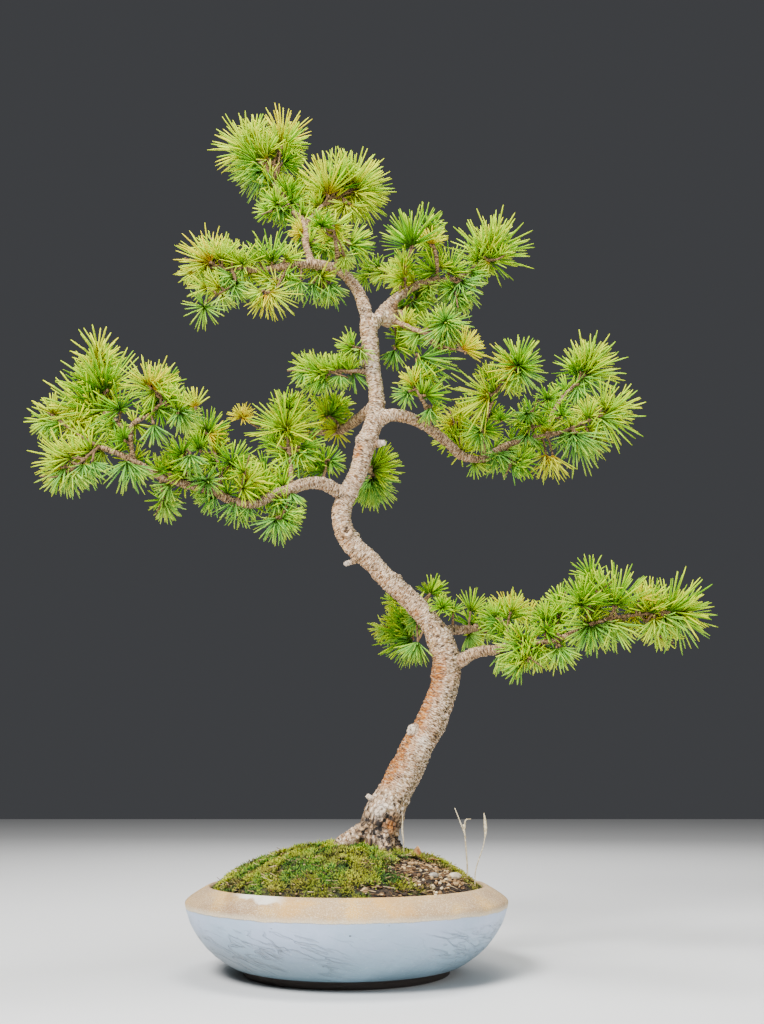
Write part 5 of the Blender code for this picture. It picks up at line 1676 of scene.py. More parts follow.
@dataclass
class Needles:
    """The needle, and the tufts that it makes on short spurs.

    Attributes:
        box: the CAD model's lowest and highest corner, which no needle passes.
        lengths: how long the needles of the small, middling and large tufts are.
        width: how wide a needle is.
        bends: how far the tip of each needle pattern leans, in millimetres.
        variants: how many patterns there are of each form and length.
        draw: the source of the small differences.
        patterns: the tufts, by form and length.
    """

    box: tuple[Any, Any]
    lengths: tuple[float, ...] = (20 * MM, 29 * MM, 40 * MM)
    width: float = 1.7 * MM
    bends: tuple[float, ...] = (0.1, 0.8, 2.0)
    variants: int = 3
    draw: random.Random = field(default_factory=lambda: random.Random(11))
    patterns: dict[tuple[TuftForm, float], list[bpy.types.Object]] = field(default_factory=dict)

    def build(self) -> None:
        """Models every tuft pattern."""
        green = NeedleFinish().material()
        brown = TwigFinish().material()
        spur = self._spur(brown)
        for length in self.lengths:
            blades = [
                self._needle(f"needle_{n}", length, bend, green)
                for n, bend in enumerate(self.bends)
            ]
            for form in TuftForm:
                made = [self._tuft(form, length, blades, spur) for _ in range(self.variants)]
                self.patterns[form, length] = made
            Bench.drop(blades)
        Bench.drop([spur])

    def _needle(
        self, name: str, length: float, bend: float, material: bpy.types.Material
    ) -> bpy.types.Object:
        """One three-sided needle along +Z, from a column that is cut, tapered and bent.

        Args:
            name: its name.
            length: how long it is.
            bend: how far its tip leans, in millimetres.
            material: its finish.

        Returns:
            The needle, with how far up each point is in its growth attribute.
        """
        Bench.pick()
        bpy.ops.mesh.primitive_cylinder_add(
            vertices=3, radius=self.width / 2, depth=length, end_fill_type="NGON",
            location=(0, 0, length / 2),
        )
        blade = Bench.named(name)
        Bench.settle(blade)
        with Bench.edit(blade):
            for share in (0.45, 0.86):
                bpy.ops.mesh.select_all(action="SELECT")
                bpy.ops.mesh.bisect(plane_co=(0, 0, length * share), plane_no=(0, 0, 1))
        points = Bench.points(blade)
        up = points[:, 2] / length
        taper = np.interp(up, [0, 0.45, 0.86, 1], [0.7, 1.0, 0.92, 0.42])
        points[:, 0] = points[:, 0] * taper * 0.8 + bend * MM * up**2
        points[:, 1] *= taper
        Bench.move(blade, points)
        Bench.outward(blade)
        Bench.smooth(blade)
        Bench.dress(blade, material)
        up = Bench.points(blade)[:, 2] / length
        Bench.paint(blade, "growth", np.column_stack([up, up * 0, up * 0, up * 0]))
        return blade

    @staticmethod
    def _spur(material: bpy.types.Material) -> bpy.types.Object:
        """The knobbly short shoot under a tuft, with its top at the origin."""
        Bench.pick()
        bpy.ops.mesh.primitive_uv_sphere_add(
            segments=6, ring_count=4, radius=1.4 * MM, location=(0, 0, -1.0 * MM)
        )
        spur = Bench.named("spur")
        Bench.settle(spur)
        with Bench.edit(spur):
            bpy.ops.transform.resize(value=(1, 1, 1.5), center_override=(0, 0, -1.0 * MM))
        Bench.smooth(spur)
        Bench.dress(spur, material)
        return spur

    def _tuft(
        self, form: TuftForm, length: float, blades: list[bpy.types.Object], spur: bpy.types.Object
    ) -> bpy.types.Object:
        """A tuft that opens along +Z from the origin.

        Args:
            form: how its needles spread.
            length: how long they are.
            blades: the needle patterns.
            spur: the spur pattern.

        Returns:
            The tuft.
        """
        draw = self.draw
        feather = form is TuftForm.FEATHER
        count, narrow, wide = SPREADS[form]
        stem = Matrix.Diagonal((0.7, 0.7, 8, 1)) if feather else Matrix.Identity(4)
        parts = [Bench.stamp(spur, stem)]
        if feather:
            parts[0].data.transform(Matrix.Translation((0, 0, 0.2 * length)))
        start = draw.uniform(0, FULL_TURN)
        for i in range(count):
            share = (i + draw.uniform(0.2, 0.8)) / count
            spread = min(1.0, share * (1.6 if feather else 1)) ** 0.62
            lean = math.radians(narrow + (wide - narrow) * spread)
            lean += math.radians(draw.uniform(-5, 5))
            turn = start + i * GOLDEN_TURN + draw.uniform(-0.3, 0.3)
            size = draw.uniform(0.78, 1.0) * (0.66 if feather else 1.0)
            up = 0.42 * length * (1 - share) if feather else 0.4 * MM
            place = (
                Matrix.Translation((0, 0, up)) @ Matrix.Rotation(turn, 4, "Z")
                @ Matrix.Rotation(lean, 4, "Y") @ Matrix.Rotation(draw.uniform(-0.6, 0.6), 4, "Z")
                @ Matrix.Diagonal((1, 1, size, 1))
            )
            blade = Bench.stamp(draw.choice(blades), place)
            growth = Bench.painted(blade, "growth")
            growth[:, 1] = draw.random()
            Bench.paint(blade, "growth", growth)
            parts.append(blade)
        return Bench.join("tuft", parts)

    def stamp(
        self, form: TuftForm, at: Vector, aim: Vector, tint: float, under: float
    ) -> bpy.types.Object:
        """Puts a tuft on a twig.

        Args:
            form: the kind of tuft.
            at: where its spur stands.
            aim: which way it opens, as long as its needles.
            tint: how golden it is, from 0 to 1.
            under: how much its pale underside shows, from 0 to 1.

        Returns:
            The tuft.
        """
        length = min(self.lengths, key=lambda known: abs(known - aim.length))
        turn = Matrix.Rotation(self.draw.uniform(0, FULL_TURN), 4, "Z")
        place = Matrix.Translation(at) @ aim.to_track_quat("Z", "Y").to_matrix().to_4x4() @ turn
        pattern = self.draw.choice(self.patterns[form, length])
        tuft = Bench.stamp(pattern, place @ Matrix.Scale(min(1.25, aim.length / length), 4))
        self._fit(tuft, at)
        growth = Bench.painted(tuft, "growth")
        growth[:, 2] = tint
        growth[:, 3] = under
        Bench.paint(tuft, "growth", growth)
        return tuft

    def _fit(self, tuft: bpy.types.Object, at: Vector) -> None:
        """Shrinks a tuft about its spur until it is inside the CAD model's box."""
        points = Bench.points(tuft)
        base = np.array(at)
        low, high = np.array(self.box[0]) - base, np.array(self.box[1]) - base
        reach_low, reach_high = (points - base).min(0), (points - base).max(0)
        share = min(1.0, *(low / reach_low), *(high / reach_high))
        if share < 1:
            Bench.move(tuft, base + (points - base) * share)

    def clear(self) -> None:
        """Removes the patterns."""
        for made in self.patterns.values():
            Bench.drop(made)


class SprayTwigs:
    """Where the twigs of each spray run.

    Attributes:
        STUB: how far a stub stands out of its limb, in millimetres.
        THICK: its radius.
        THIN: the radius of a twig's tip.
    """

    STUB = 3.0
    THICK = 1.7
    THIN = 0.7

    @staticmethod
    def knots(limb: str) -> list[Knot]:
        """The knots of a limb, or of the trunk."""
        return TRUNK if limb == "trunk" else LIMBS[limb]

    @classmethod
    def start(cls, limb: str, index: int, steps: Steps) -> tuple[Vector, Vector, bool]:
        """Where a spray leaves its limb.

        Args:
            limb: the limb's name.
            index: the knot that it leaves.
            steps: its twig.

        Returns:
            The place in millimetres, the way, and whether it has a stub there.
        """
        knots = cls.knots(limb)
        place = Vector(knots[index][:3])
        if limb != "trunk" and index == len(knots) - 1:
            return place, (place - Vector(knots[index - 1][:3])).normalized(), False
        way = Vector(steps[0]).normalized()
        return place + way * (knots[index][3] + cls.STUB), way, True

    @classmethod
    def stubs(cls) -> list[Route]:
        """The stubs on the limbs that sprays grow from."""
        found = []
        for limb, index, steps, _ in SPRAYS.values():
            place, way, stub = cls.start(limb, index, steps)
            if stub:
                knots = cls.knots(limb)
                found.append(Route([(*knots[index][:3], cls.THICK), (*place, cls.THICK)]))
        return found

    @classmethod
    def routes(cls, limb: str, index: int, steps: Steps, forks: Forks) -> list[Route]:
        """The spray's twig, then its forks.

        Args:
            limb: the limb's name.
            index: the knot that it leaves.
            steps: its twig.
            forks: where its forks leave, and their steps.

        Returns:
            A route for each.
        """
        knots = cls.knots(limb)
        start, way, stub = cls.start(limb, index, steps)
        thick = cls.THICK if stub else knots[index][3]
        origin = Vector(knots[index][:3])
        ends = [origin + Vector(step) for step in steps]
        main = [start + way * 1.5] + [end for end in ends if (end - start).dot(way) > 5]
        found = [cls._tapered([start] + main, thick)]
        for share, fork_steps in forks:
            at = main[round(share * (len(main) - 1))]
            tips = [at + Vector(step) for step in fork_steps]
            found.append(cls._tapered([at, *tips], cls.THICK * 0.9))
        return found

    @classmethod
    def _tapered(cls, points: list[Vector], thick: float) -> Route:
        """A twig that thins towards its tip."""
        last = len(points) - 1
        knots = [(*place, thick + (cls.THIN - thick) * i / last) for i, place in enumerate(points)]
        return Route(knots, 3 * MM)


@dataclass
class Foliage:
    """The sprays of needles, one piece for each spray node, and the tufts along the limbs.

    Attributes:
        needles: the tuft patterns.
        spacing: how far apart the tufts are that fill a twig.
        shoot_spacing: how far apart its side shoots are.
        limb_spacing: how far apart the tufts are that fill a limb.
        trim: how much of a twig's end is left to the needles of its last tuft.
        bare: how much of each limb is bare, from its root.
        draw: the source of the small differences.
    """

    needles: Needles
    spacing: float = 13 * MM
    shoot_spacing: float = 22 * MM
    limb_spacing: float = 14 * MM
    trim: float = 13 * MM
    bare: dict[str, float] = field(default_factory=lambda: {
        "left_leader": 0.42, "apex": 0.12, "apex_right": 0.1, "leader_upright": 0.2,
        "right_leader": 0.50, "right_leader_upright": 0.1, "behind_leader": 0.2, "burl_shoot": 0.1,
        "small_left": 0.5, "second_left": 0.42, "lower_left": 0.24, "lower_left_upright": 0.25,
        "lower_left_far": 0.2, "lower_left_mid": 0.2, "lower_left_inner": 0.2,
        "right_middle": 0.42, "right_middle_upright": 0.15, "right_middle_outer": 0.15,
        "right_middle_inner": 0.2, "lower_right": 0.30, "lower_right_back": 0.45,
        "behind_trunk": 0.35, "behind_mid": 0.4,
    })
    draw: random.Random = field(default_factory=lambda: random.Random(5))

    def build(self) -> None:
        """Builds every spray, then the tufts along each limb."""
        twig = TwigFinish().material()
        for name, (limb, index, steps, forks) in SPRAYS.items():
            parts: list[bpy.types.Object] = []
            hue = self.draw.uniform(0.05, 0.5)
            routes = SprayTwigs.routes(limb, index, steps, forks)
            for route in routes:
                parts.append(self._twig(route, twig))
                parts += self._filling(route, 0.0, self.spacing, hue)
                parts += self._shoots(route, hue, twig)
            parts += self._front(name, routes, twig)
            spray = Bench.join(f"{name}_needles", parts)
            Bench.hand_over(spray, Slot.NEEDLES, f"spray_{name}")
        for limb, bare in self.bare.items():
            route = Route(LIMBS[limb])
            parts = self._filling(route, bare, self.limb_spacing, self.draw.uniform(0.05, 0.45))
            parts += self._front(limb, [route], twig)
            spurs = Bench.join(f"{limb}_spurs", parts)
            Bench.hand_over(spurs, Slot.NEEDLES)

    @staticmethod
    def _twig(route: Route, material: bpy.types.Material) -> bpy.types.Object:
        """A knobbly twig along a route."""
        tube = route.tube("twig", 1)
        Bench.outward(tube, 1e-6)
        points = Bench.points(tube)
        push = np.array([0.4 * MM * noise.noise(Vector(p) * 260) for p in points])
        Bench.move(tube, points + Bench.normals(tube) * push[:, None])
        Bench.smooth(tube)
        Bench.dress(tube, material)
        return tube

    def _front(
        self, owner: str, routes: list[Route], material: bpy.types.Material
    ) -> list[bpy.types.Object]:
        """The tufts that show from the front, each on its own shoot.

        Args:
            owner: the limb or spray.
            routes: its wood.
            material: the finish of the shoots.

        Returns:
            The shoots and tufts.
        """
        lines = np.vstack([route.line[:, :3] for route in routes])
        found = []
        for form, x, y, z, *aim, gold in TUFTS.get(owner, []):
            at, way = Vector((x, y, z)) * MM, Vector(aim) * MM
            gaps = np.linalg.norm(lines - np.array(at - way * 0.25), axis=1)
            root = Vector(lines[int(gaps.argmin())])
            if (at - root).length > 3 * MM:
                found.append(self._shoot(root, at, way, material))
            tint = clamp(gold + self.draw.uniform(-0.08, 0.08))
            under = clamp(-way.normalized().z * 1.2) * (1 - gold)
            found.append(self.needles.stamp(TuftForm(form), at, way, tint, under))
        return found

    def _shoot(
        self, root: Vector, tip: Vector, way: Vector, material: bpy.types.Material
    ) -> bpy.types.Object:
        """One short shoot, which bends the way its tuft opens.

        Args:
            root: where it leaves the wood.
            tip: where its tuft stands.
            way: which way the tuft opens.
            material: its finish.

        Returns:
            The shoot.
        """
        middle = (root + tip) / 2 - way.normalized() * (tip - root).length * 0.16
        middle += Vector((0, 0, self.draw.uniform(-0.06, 0.06))) * (tip - root).length
        radii = ((root, 1.6), (middle, 1.25), (tip, 1.0))
        knots = [(*(place / MM), radius) for place, radius in radii]
        return self._twig(Route(knots, 4 * MM), material)

    def _filling(
        self, route: Route, bare: float, spacing: float, hue: float
    ) -> list[bpy.types.Object]:
        """Smaller tufts all along a twig or limb, mostly at its sides and back.

        Args:
            route: the wood.
            bare: how much of it is bare, from its root.
            spacing: how far apart the tufts are.
            hue: how golden they are, from 0 to 1.

        Returns:
            The tufts.
        """
        draw = self.draw
        first = route.length * bare
        last = max(first + spacing, route.length - (0 if bare else self.trim))
        count = max(2, round((last - first) / spacing))
        around = draw.uniform(0, FULL_TURN)
        found = []
        for i in range(count):
            at, way, radius = route.at(first + (i + 0.7) * (last - first) / count)
            turn = around + i * WHORL_TURN + draw.uniform(-0.4, 0.4)
            out = Matrix.Rotation(turn, 3, way) @ way.orthogonal().normalized()
            if out.y < -0.2:
                out.y = -out.y
            aim = (out + way * 0.35 + Vector((0, 0, 0.25))).normalized()
            found.append(self._tuft(at + out * radius * 0.85, aim, hue))
        return found

    def _tuft(self, at: Vector, aim: Vector, hue: float) -> bpy.types.Object:
        """One filling tuft, paler on its underside the lower it looks.

        Args:
            at: where it stands.
            aim: which way it opens.
            hue: how golden its spray is, from 0 to 1.

        Returns:
            The tuft.
        """
        draw = self.draw
        form = TuftForm.HANGING
        if aim.z >= -0.3:
            form = draw.choice([TuftForm.BRUSH, TuftForm.BRUSH, TuftForm.ROSETTE])
        tint = clamp(hue + draw.uniform(-0.15, 0.25))
        way = aim * draw.uniform(19, 25) * MM
        return self.needles.stamp(form, at, way, tint, clamp(-aim.z * 1.3))

    def _shoots(
        self, route: Route, hue: float, material: bpy.types.Material
    ) -> list[bpy.types.Object]:
        """Short side shoots along a twig, at its sides and back, with a tuft on each."""
        draw = self.draw
        count = round((route.length - self.trim) / self.shoot_spacing)
        around = draw.uniform(0, FULL_TURN)
        found = []
        for i in range(count):
            at, way, _ = route.at(4 * MM + (i + 0.4) * (route.length - self.trim) / count)
            turn = around + i * 2.1 + draw.uniform(-0.5, 0.5)
            out = Matrix.Rotation(turn, 3, way) @ way.orthogonal().normalized()
            if out.y < 0.1:
                out.y = 0.3 - out.y
            aim = (out.normalized() + way * 0.45 + Vector((0, 0, 0.3))).normalized()
            tip = at + aim * draw.uniform(10, 17) * MM
            found += [self._shoot(at, tip, aim, material), self._tuft(tip, aim, hue)]
            side = (aim.orthogonal().normalized() + aim * 0.6).normalized()
            side.rotate(Matrix.Rotation(draw.uniform(0, FULL_TURN), 3, aim))
            found.append(self._tuft(at.lerp(tip, 0.55), side, hue))
        return found


# Ground


@dataclass
class Mound:
    """The shape of the ground in the pot.

    Attributes:
        radius: where it meets the pot.
        edge: its height there.
        rise: how far it rises to its middle.
        patches: where there is no moss, as (x, y, half length, half width).
    """

    radius: float = 126 * MM
    edge: float = 74 * MM
    rise: float = 41 * MM
    patches: tuple[tuple[float, float, float, float], ...] = (
        (0.082, -0.066, 0.044, 0.034), (0.050, -0.113, 0.034, 0.009),
    )

    def top(self, x: float, y: float) -> float:
        """The height of the moss, before its cushions."""
        out = min(1.0, math.hypot(x, y) / self.radius)
        return self.edge + self.rise * (1 - out * out) ** 0.8

    def soil(self, x: float, y: float) -> float:
        """The height of the soil under it."""
        out = min(1.0, math.hypot(x, y) / self.radius)
        return self.top(x, y) - (6 - 3.5 * out * out) * MM

    @staticmethod
    def cushion(x: float, y: float) -> float:
        """Cushions of moss, from 0 in the furrows to 1 on the crowns."""
        wave = noise.noise(Vector((x, y, 0.01)) * 62)
        wave += 0.45 * noise.noise(Vector((x, y, 0.05)) * 150)
        return clamp(0.5 + 0.85 * wave)

    def moss(self, x: float, y: float) -> float:
        """The height of the moss with its cushions."""
        out = math.hypot(x, y) / self.radius
        fade = clamp((1 - out) / 0.06)
        return self.top(x, y) + 5.0 * MM * (self.cushion(x, y) - 0.62) * fade

    def bare(self, x: float, y: float) -> float:
        """How bare the ground is: above 0 inside a patch, below 0 outside."""
        ragged = 0.35 * noise.noise(Vector((x, y, 0)) * 120)
        return max(
            1.0 + ragged - math.hypot((x - u) / a, (y - v) / b) for u, v, a, b in self.patches
        )


@dataclass
class Ground:
    """The soil, its moss and what lies on it.

    Attributes:
        mound: the shape of the ground.
        wall: the inside of the pot that the soil fills, (radius, height) in millimetres.
        gap: how far the ground stays off the pot.
        segments: how many sides the mound has.
        rings: how many rings its top has.
        shoots: how many cushions of moss shoots there are.
        clear: how far from the trunk the first of them stands.
        bits: how many loose bits there are, the first of them in the bare patches.
        patch_bits: how many of them lie in the large patch, and how many in both.
        straw_from: from which bit on they are all dead needles.
        soil_sizes: the sizes of the grains on bare soil.
        moss_sizes: the sizes of those on moss.
        draw: the source of the small differences.
    """

    mound: Mound
    wall: tuple[tuple[float, float], ...] = (
        (126.5, 72.5), (139, 61), (139.5, 53), (131, 37.5), (118, 25), (102, 17), (86, 13.8),
    )
    gap: float = 0.4 * MM
    segments: int = 128
    rings: int = 40
    shoots: int = 860
    clear: float = 20 * MM
    bits: int = 2100
    patch_bits: tuple[int, int] = (1000, 1150)
    straw_from: int = 1800
    soil_sizes: tuple[float, ...] = (0.7, 0.9, 1.1, 1.4, 1.8, 2.4)
    moss_sizes: tuple[float, ...] = (0.7, 1.0)
    draw: random.Random = field(default_factory=lambda: random.Random(3))

    def build(self) -> None:
        """Builds the ground from the soil up."""
        self._soil()
        self._moss_mat()
        self._moss_shoots()
        self._grit()
        self._stones()
        self._leaf()
        self._stalks()

    def _spin(self) -> Matrix:
        """A random turn about the vertical."""
        return Matrix.Rotation(self.draw.uniform(0, FULL_TURN), 4, "Z")

    def _tilt(self, axes: str) -> Matrix:
        """A small random tilt about each of two axes."""
        first, second = (Matrix.Rotation(self.draw.uniform(-0.4, 0.4), 4, axis) for axis in axes)
        return first @ second

    def _disc(self, name: str, radius: float, rings: int) -> bpy.types.Object:
        """A flat disc in rings, extruded inwards from a circle.

        Args:
            name: its name.
            radius: its radius.
            rings: how many rings it has.

        Returns:
            The disc, at height 0.
        """
        Bench.pick()
        bpy.ops.mesh.primitive_circle_add(
            vertices=self.segments, radius=radius, fill_type="NOTHING"
        )
        disc = Bench.named(name)
        with Bench.edit(disc):
            for ring in range(rings, 1, -1):
                bpy.ops.mesh.extrude_region_move()
                share = (ring - 1) / ring
                bpy.ops.transform.resize(value=(share, share, 1), center_override=(0, 0, 0))
            bpy.ops.mesh.extrude_region_move()
            bpy.ops.mesh.merge(type="CENTER")
        return disc

    def _soil(self) -> None:
        """The soil, which fills the pot from its floor to under the moss."""
        soil = self._disc("soil_bed", self.mound.radius - self.gap, self.rings)
        points = Bench.points(soil)
        for point in points:
            x, y = point[:2]
            rough = noise.noise(Vector((x, y, 0)) * 300)
            rough += 0.6 * noise.noise(Vector((x, y, 9)) * 700)
            raised = clamp(self.mound.bare(x, y) * 3)
            point[2] = self.mound.soil(x, y) + rough * 0.8 * MM + 1.5 * MM * raised
        Bench.move(soil, points)
        with Bench.edit(soil):
            bpy.ops.mesh.select_all(action="DESELECT")
            bpy.ops.mesh.select_non_manifold()
            wall = [(radius * MM - self.gap, height * MM) for radius, height in self.wall]
            Bench.turn(self.mound.radius - self.gap, wall)
        Bench.outward(soil)
        Bench.smooth(soil)
        Bench.dress(soil, EarthFinish().material())
        Bench.hand_over(soil, Slot.SOIL, "soil")

    def _moss_mat(self) -> None:
        """The mat that the moss shoots stand on, open over the bare patch."""
        mat = self._disc("moss_mat", self.mound.radius - self.gap, self.rings)
        bare = [self.mound.bare(*face.center[:2]) > 0 for face in mat.data.polygons]
        with Bench.edit(mat):
            bpy.ops.mesh.select_mode(type="FACE")
            bpy.ops.mesh.select_all(action="DESELECT")
            bpy.ops.object.mode_set(mode="OBJECT")
            mat.data.polygons.foreach_set("select", bare)
            bpy.ops.object.mode_set(mode="EDIT")
            bpy.ops.mesh.delete(type="FACE")
            bpy.ops.mesh.select_mode(type="VERT")
        points = Bench.points(mat)
        for point in points:
            x, y = point[:2]
            rough = noise.noise(Vector((x, y, 4)) * 500)
            point[2] = self.mound.moss(x, y) - 1.6 * MM + 0.7 * MM * rough
        Bench.move(mat, points)
        Bench.outward(mat)
        if mat.data.polygons[0].normal.z < 0:
            with Bench.edit(mat):
                bpy.ops.mesh.flip_normals()
        Bench.modify(mat, "SOLIDIFY", thickness=2.2 * MM, offset=-1.0)
        Bench.smooth(mat)
        Bench.dress(mat, MossFinish().mat())
        Bench.hand_over(mat, Slot.MOSS, "moss")

    def _shoot(self, leaves: int, height: float) -> bpy.types.Object:
        """One moss shoot: a whorl of narrow leaves that open upwards.

        Args:
            leaves: how many leaves it has.
            height: how tall it is.

        Returns:
            The shoot, standing at the origin.
        """
        draw = self.draw
        parts = []
        for i in range(leaves):
            Bench.pick()
            bpy.ops.mesh.primitive_plane_add(size=1)
            leaf = Bench.named("moss_leaf")
            points = Bench.points(leaf)
            share = points[:, 0] + 0.5
            wide = np.interp(share, [0, 1], [1.25, 0.3]) * MM
            lean = math.radians(draw.uniform(15, 84))
            reach = height * draw.uniform(0.7, 1.1) * share
            out, up = reach * math.sin(lean), reach * math.cos(lean)
            Bench.move(leaf, np.column_stack([out, points[:, 1] * wide, up]))
            growth = np.column_stack([share, share * 0 + draw.random(), share * 0, share * 0])
            Bench.paint(leaf, "growth", growth)
            turn = i * WHORL_TURN + draw.uniform(-0.3, 0.3)
            leaf.data.transform(Matrix.Rotation(turn, 4, "Z"))
            parts.append(leaf)
        return Bench.join("moss_shoot", parts)

    def _cushion(self, shoots: list[bpy.types.Object], count: int = 8) -> bpy.types.Object:
        """A round cushion of moss shoots, standing at the origin.

        Args:
            shoots: the shoot patterns.
            count: how many shoots it has.

        Returns:
            The cushion.
        """
        draw = self.draw
        parts = []
        for n in range(count):
            spread = 4.8 * MM * math.sqrt((n + 0.5) / count)
            turn = n * WHORL_TURN
            at = (spread * math.cos(turn), spread * math.sin(turn), draw.uniform(-0.8, 0.6) * MM)
            place = Matrix.Translation(at) @ self._tilt("XY") @ self._spin()
            pattern = draw.choice(shoots)
            size = Matrix.Scale(draw.uniform(0.7, 1.15), 4)
            parts.append(Bench.stamp(pattern, place @ size))
        return Bench.join("moss_cushion", parts)

    def _moss_shoots(self) -> None:
        """The shoots over the whole mat, in cushions, thinner round the bare patches."""
        draw = self.draw
        green = MossFinish().material()
        shoots = [self._shoot(10, height * MM) for height in (4.0, 4.4, 4.8, 5.4)]
        cushions = [self._cushion(shoots) for _ in range(5)]
        for cushion in cushions:
            Bench.dress(cushion, green)
        placed = []
        for n in range(self.shoots):
            out = (self.mound.radius - 3 * MM) * math.sqrt((n + 0.5) / self.shoots)
            turn = n * GOLDEN_TURN
            x = out * math.cos(turn) + draw.uniform(-2, 2) * MM
            y = out * math.sin(turn) + draw.uniform(-2, 2) * MM
            bare = self.mound.bare(x, y)
            if bare > 0.06 or math.hypot(x, y) > self.mound.radius - 1.5 * MM:
                continue
            if math.hypot(x - TRUNK[0][0] * MM, y) < self.clear:
                continue
            rim = (math.hypot(x, y) - 0.86 * self.mound.radius) / (0.14 * self.mound.radius)
            rim = max(0.0, rim)
            size = draw.uniform(0.85, 1.2) * (1 - 0.35 * rim)
            slope = Vector((x, y, 0)) * 2.2 + Vector((0, 0, 0.35))
            turned = slope.to_track_quat("Z", "Y").to_matrix().to_4x4()
            at = Matrix.Translation((x, y, self.mound.moss(x, y) - 2.0 * MM))
            pattern = draw.choice(cushions)
            cushion = Bench.stamp(pattern, at @ turned @ self._spin() @ Matrix.Scale(size, 4))
            growth = Bench.painted(cushion, "growth")
            patch = 0.5 + 0.95 * noise.noise(Vector((x, y, 2)) * 42) + 1.2 * (x + 25 * MM)
            growth[:, 2] = clamp(patch + draw.uniform(-0.2, 0.2))
            dry = 1.5 * noise.noise(Vector((x, y, 0.07)) * 60) - 0.25
            dry += (0.8 * rim + 0.2) * draw.random() ** 2
            growth[:, 3] = clamp(dry + max(0.0, 0.5 + bare) * 0.7)
            # Painted shade in the furrows between cushions: shorter reach darkens the leaves there.
            growth[:, 0] *= 0.5 + 0.5 * self.mound.cushion(x, y)
            Bench.paint(cushion, "growth", growth)
            placed.append(cushion)
        moss = Bench.join("moss_shoots", placed)
        Bench.drop([*shoots, *cushions])
        Bench.hand_over(moss, Slot.MOSS)

    def _grain(self, size: float, flat: float) -> bpy.types.Object:
        """One chipped grain, standing on the origin."""
        Bench.pick()
        bpy.ops.mesh.primitive_ico_sphere_add(subdivisions=1, radius=size)
        grain = Bench.named("grain")
        points = Bench.points(grain)
        points *= np.array([[self.draw.uniform(0.75, 1.25) for _ in range(3)] for _ in points])
        points[:, 2] *= flat
        Bench.move(grain, points)
        Bench.paint(grain, "growth", np.zeros((len(points), 4)))
        return grain

    @staticmethod
    def _straw(length: float) -> bpy.types.Object:
        """One dead needle, lying along X."""
        Bench.pick()
        bpy.ops.mesh.primitive_cylinder_add(
            vertices=3, radius=0.28 * MM, depth=length, rotation=(0, math.pi / 2, 0)
        )
        straw = Bench.named("straw")
        Bench.settle(straw)
        points = Bench.points(straw)
        points[:, 1] += 30 * points[:, 0] ** 2
        Bench.move(straw, points)
        Bench.paint(straw, "growth", np.zeros((len(points), 4)))
        return straw

    def _spot(self, number: int) -> tuple[float, float]:
        """Where a loose bit lies: in a bare patch, or anywhere on the outer mound.

        Args:
            number: which bit it is.

        Returns:
            Its x and y.
        """
        turn = self.draw.uniform(0, FULL_TURN)
        first, both = self.patch_bits
        if number < both:
            u, v, a, b = self.mound.patches[0 if number < first else 1]
            out = math.sqrt(self.draw.random()) * 1.15
            return u + a * out * math.cos(turn), v + b * out * math.sin(turn)
        out = self.mound.radius * self.draw.uniform(0.5, 0.97)
        return out * math.cos(turn), out * math.sin(turn)

    def _grit(self) -> None:
        """Grains, chips of bark and fallen needles on the bare soil and on the moss."""
        draw = self.draw
        grains = [self._grain(1.0 * MM, flat) for flat in (1.0, 0.75, 0.6, 0.35, 0.25)]
        straws = [self._straw(length * MM) for length in (4, 5, 7)]
        placed = []
        for n in range(self.bits):
            x, y = self._spot(n)
            if math.hypot(x, y) > self.mound.radius - 3 * MM:
                continue
            bare = self.mound.bare(x, y) > -0.05
            height = self.mound.soil(x, y) + 1.8 * MM if bare else self.mound.moss(x, y)
            straw = n % 6 == 0 or n >= self.straw_from
            size = 1.0 if straw else draw.choice(self.soil_sizes if bare else self.moss_sizes)
            tilt = self._tilt("YX")
            longer = Matrix.Diagonal((draw.uniform(1, 1.8), 1, 1, 1))
            place = Matrix.Translation((x, y, height + (1.0 * MM if straw else 0))) @ self._spin()
            pattern = draw.choice(straws if straw else grains)
            bit = Bench.stamp(pattern, place @ tilt @ longer @ Matrix.Scale(size, 4))
            growth = Bench.painted(bit, "growth")
            if straw:
                growth[:, 1] = draw.uniform(0.5, 0.95)
            else:
                growth[:, 1] = draw.random() ** (1.0 if size > 1.3 else 1.6)
            Bench.paint(bit, "growth", growth)
            placed.append(bit)
        grit = Bench.join("soil_grit", placed)
        Bench.drop([*grains, *straws])
        Bench.dress(grit, EarthFinish().grit())
        Bench.hand_over(grit, Slot.SOIL)

    def _stones(self) -> None:
        """The two larger stones on the bare soil."""
        finishes = {
            "stone_pale": MottledFinish("pale_stone", (0.38, 0.30, 0.20), (0.68, 0.58, 0.42), 260),
            "stone_grey": MottledFinish("grey_stone", (0.20, 0.17, 0.135), (0.46, 0.40, 0.32), 260),
        }
        for node, finish in finishes.items():
            low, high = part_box(node)
            middle = (low + high) / 2
            Bench.pick()
            bpy.ops.mesh.primitive_ico_sphere_add(subdivisions=4, radius=1, location=middle)
            stone = Bench.named(node.replace("stone_", "") + "_pebble")
            Bench.settle(stone)
            points = Bench.points(stone) - np.array(middle)
            for point in points:
                rough = 1 + 0.16 * noise.noise(Vector(point) * 1.6 + middle * 50)
                rough += 0.05 * noise.noise(Vector(point) * 5)
                point *= min(1.0, 0.9 * rough) * np.array((high - low) / 2)
            Bench.move(stone, points + np.array(middle))
            Bench.smooth(stone)
            Bench.dress(stone, finish.material())
            Bench.hand_over(stone, Slot.STONE, node)

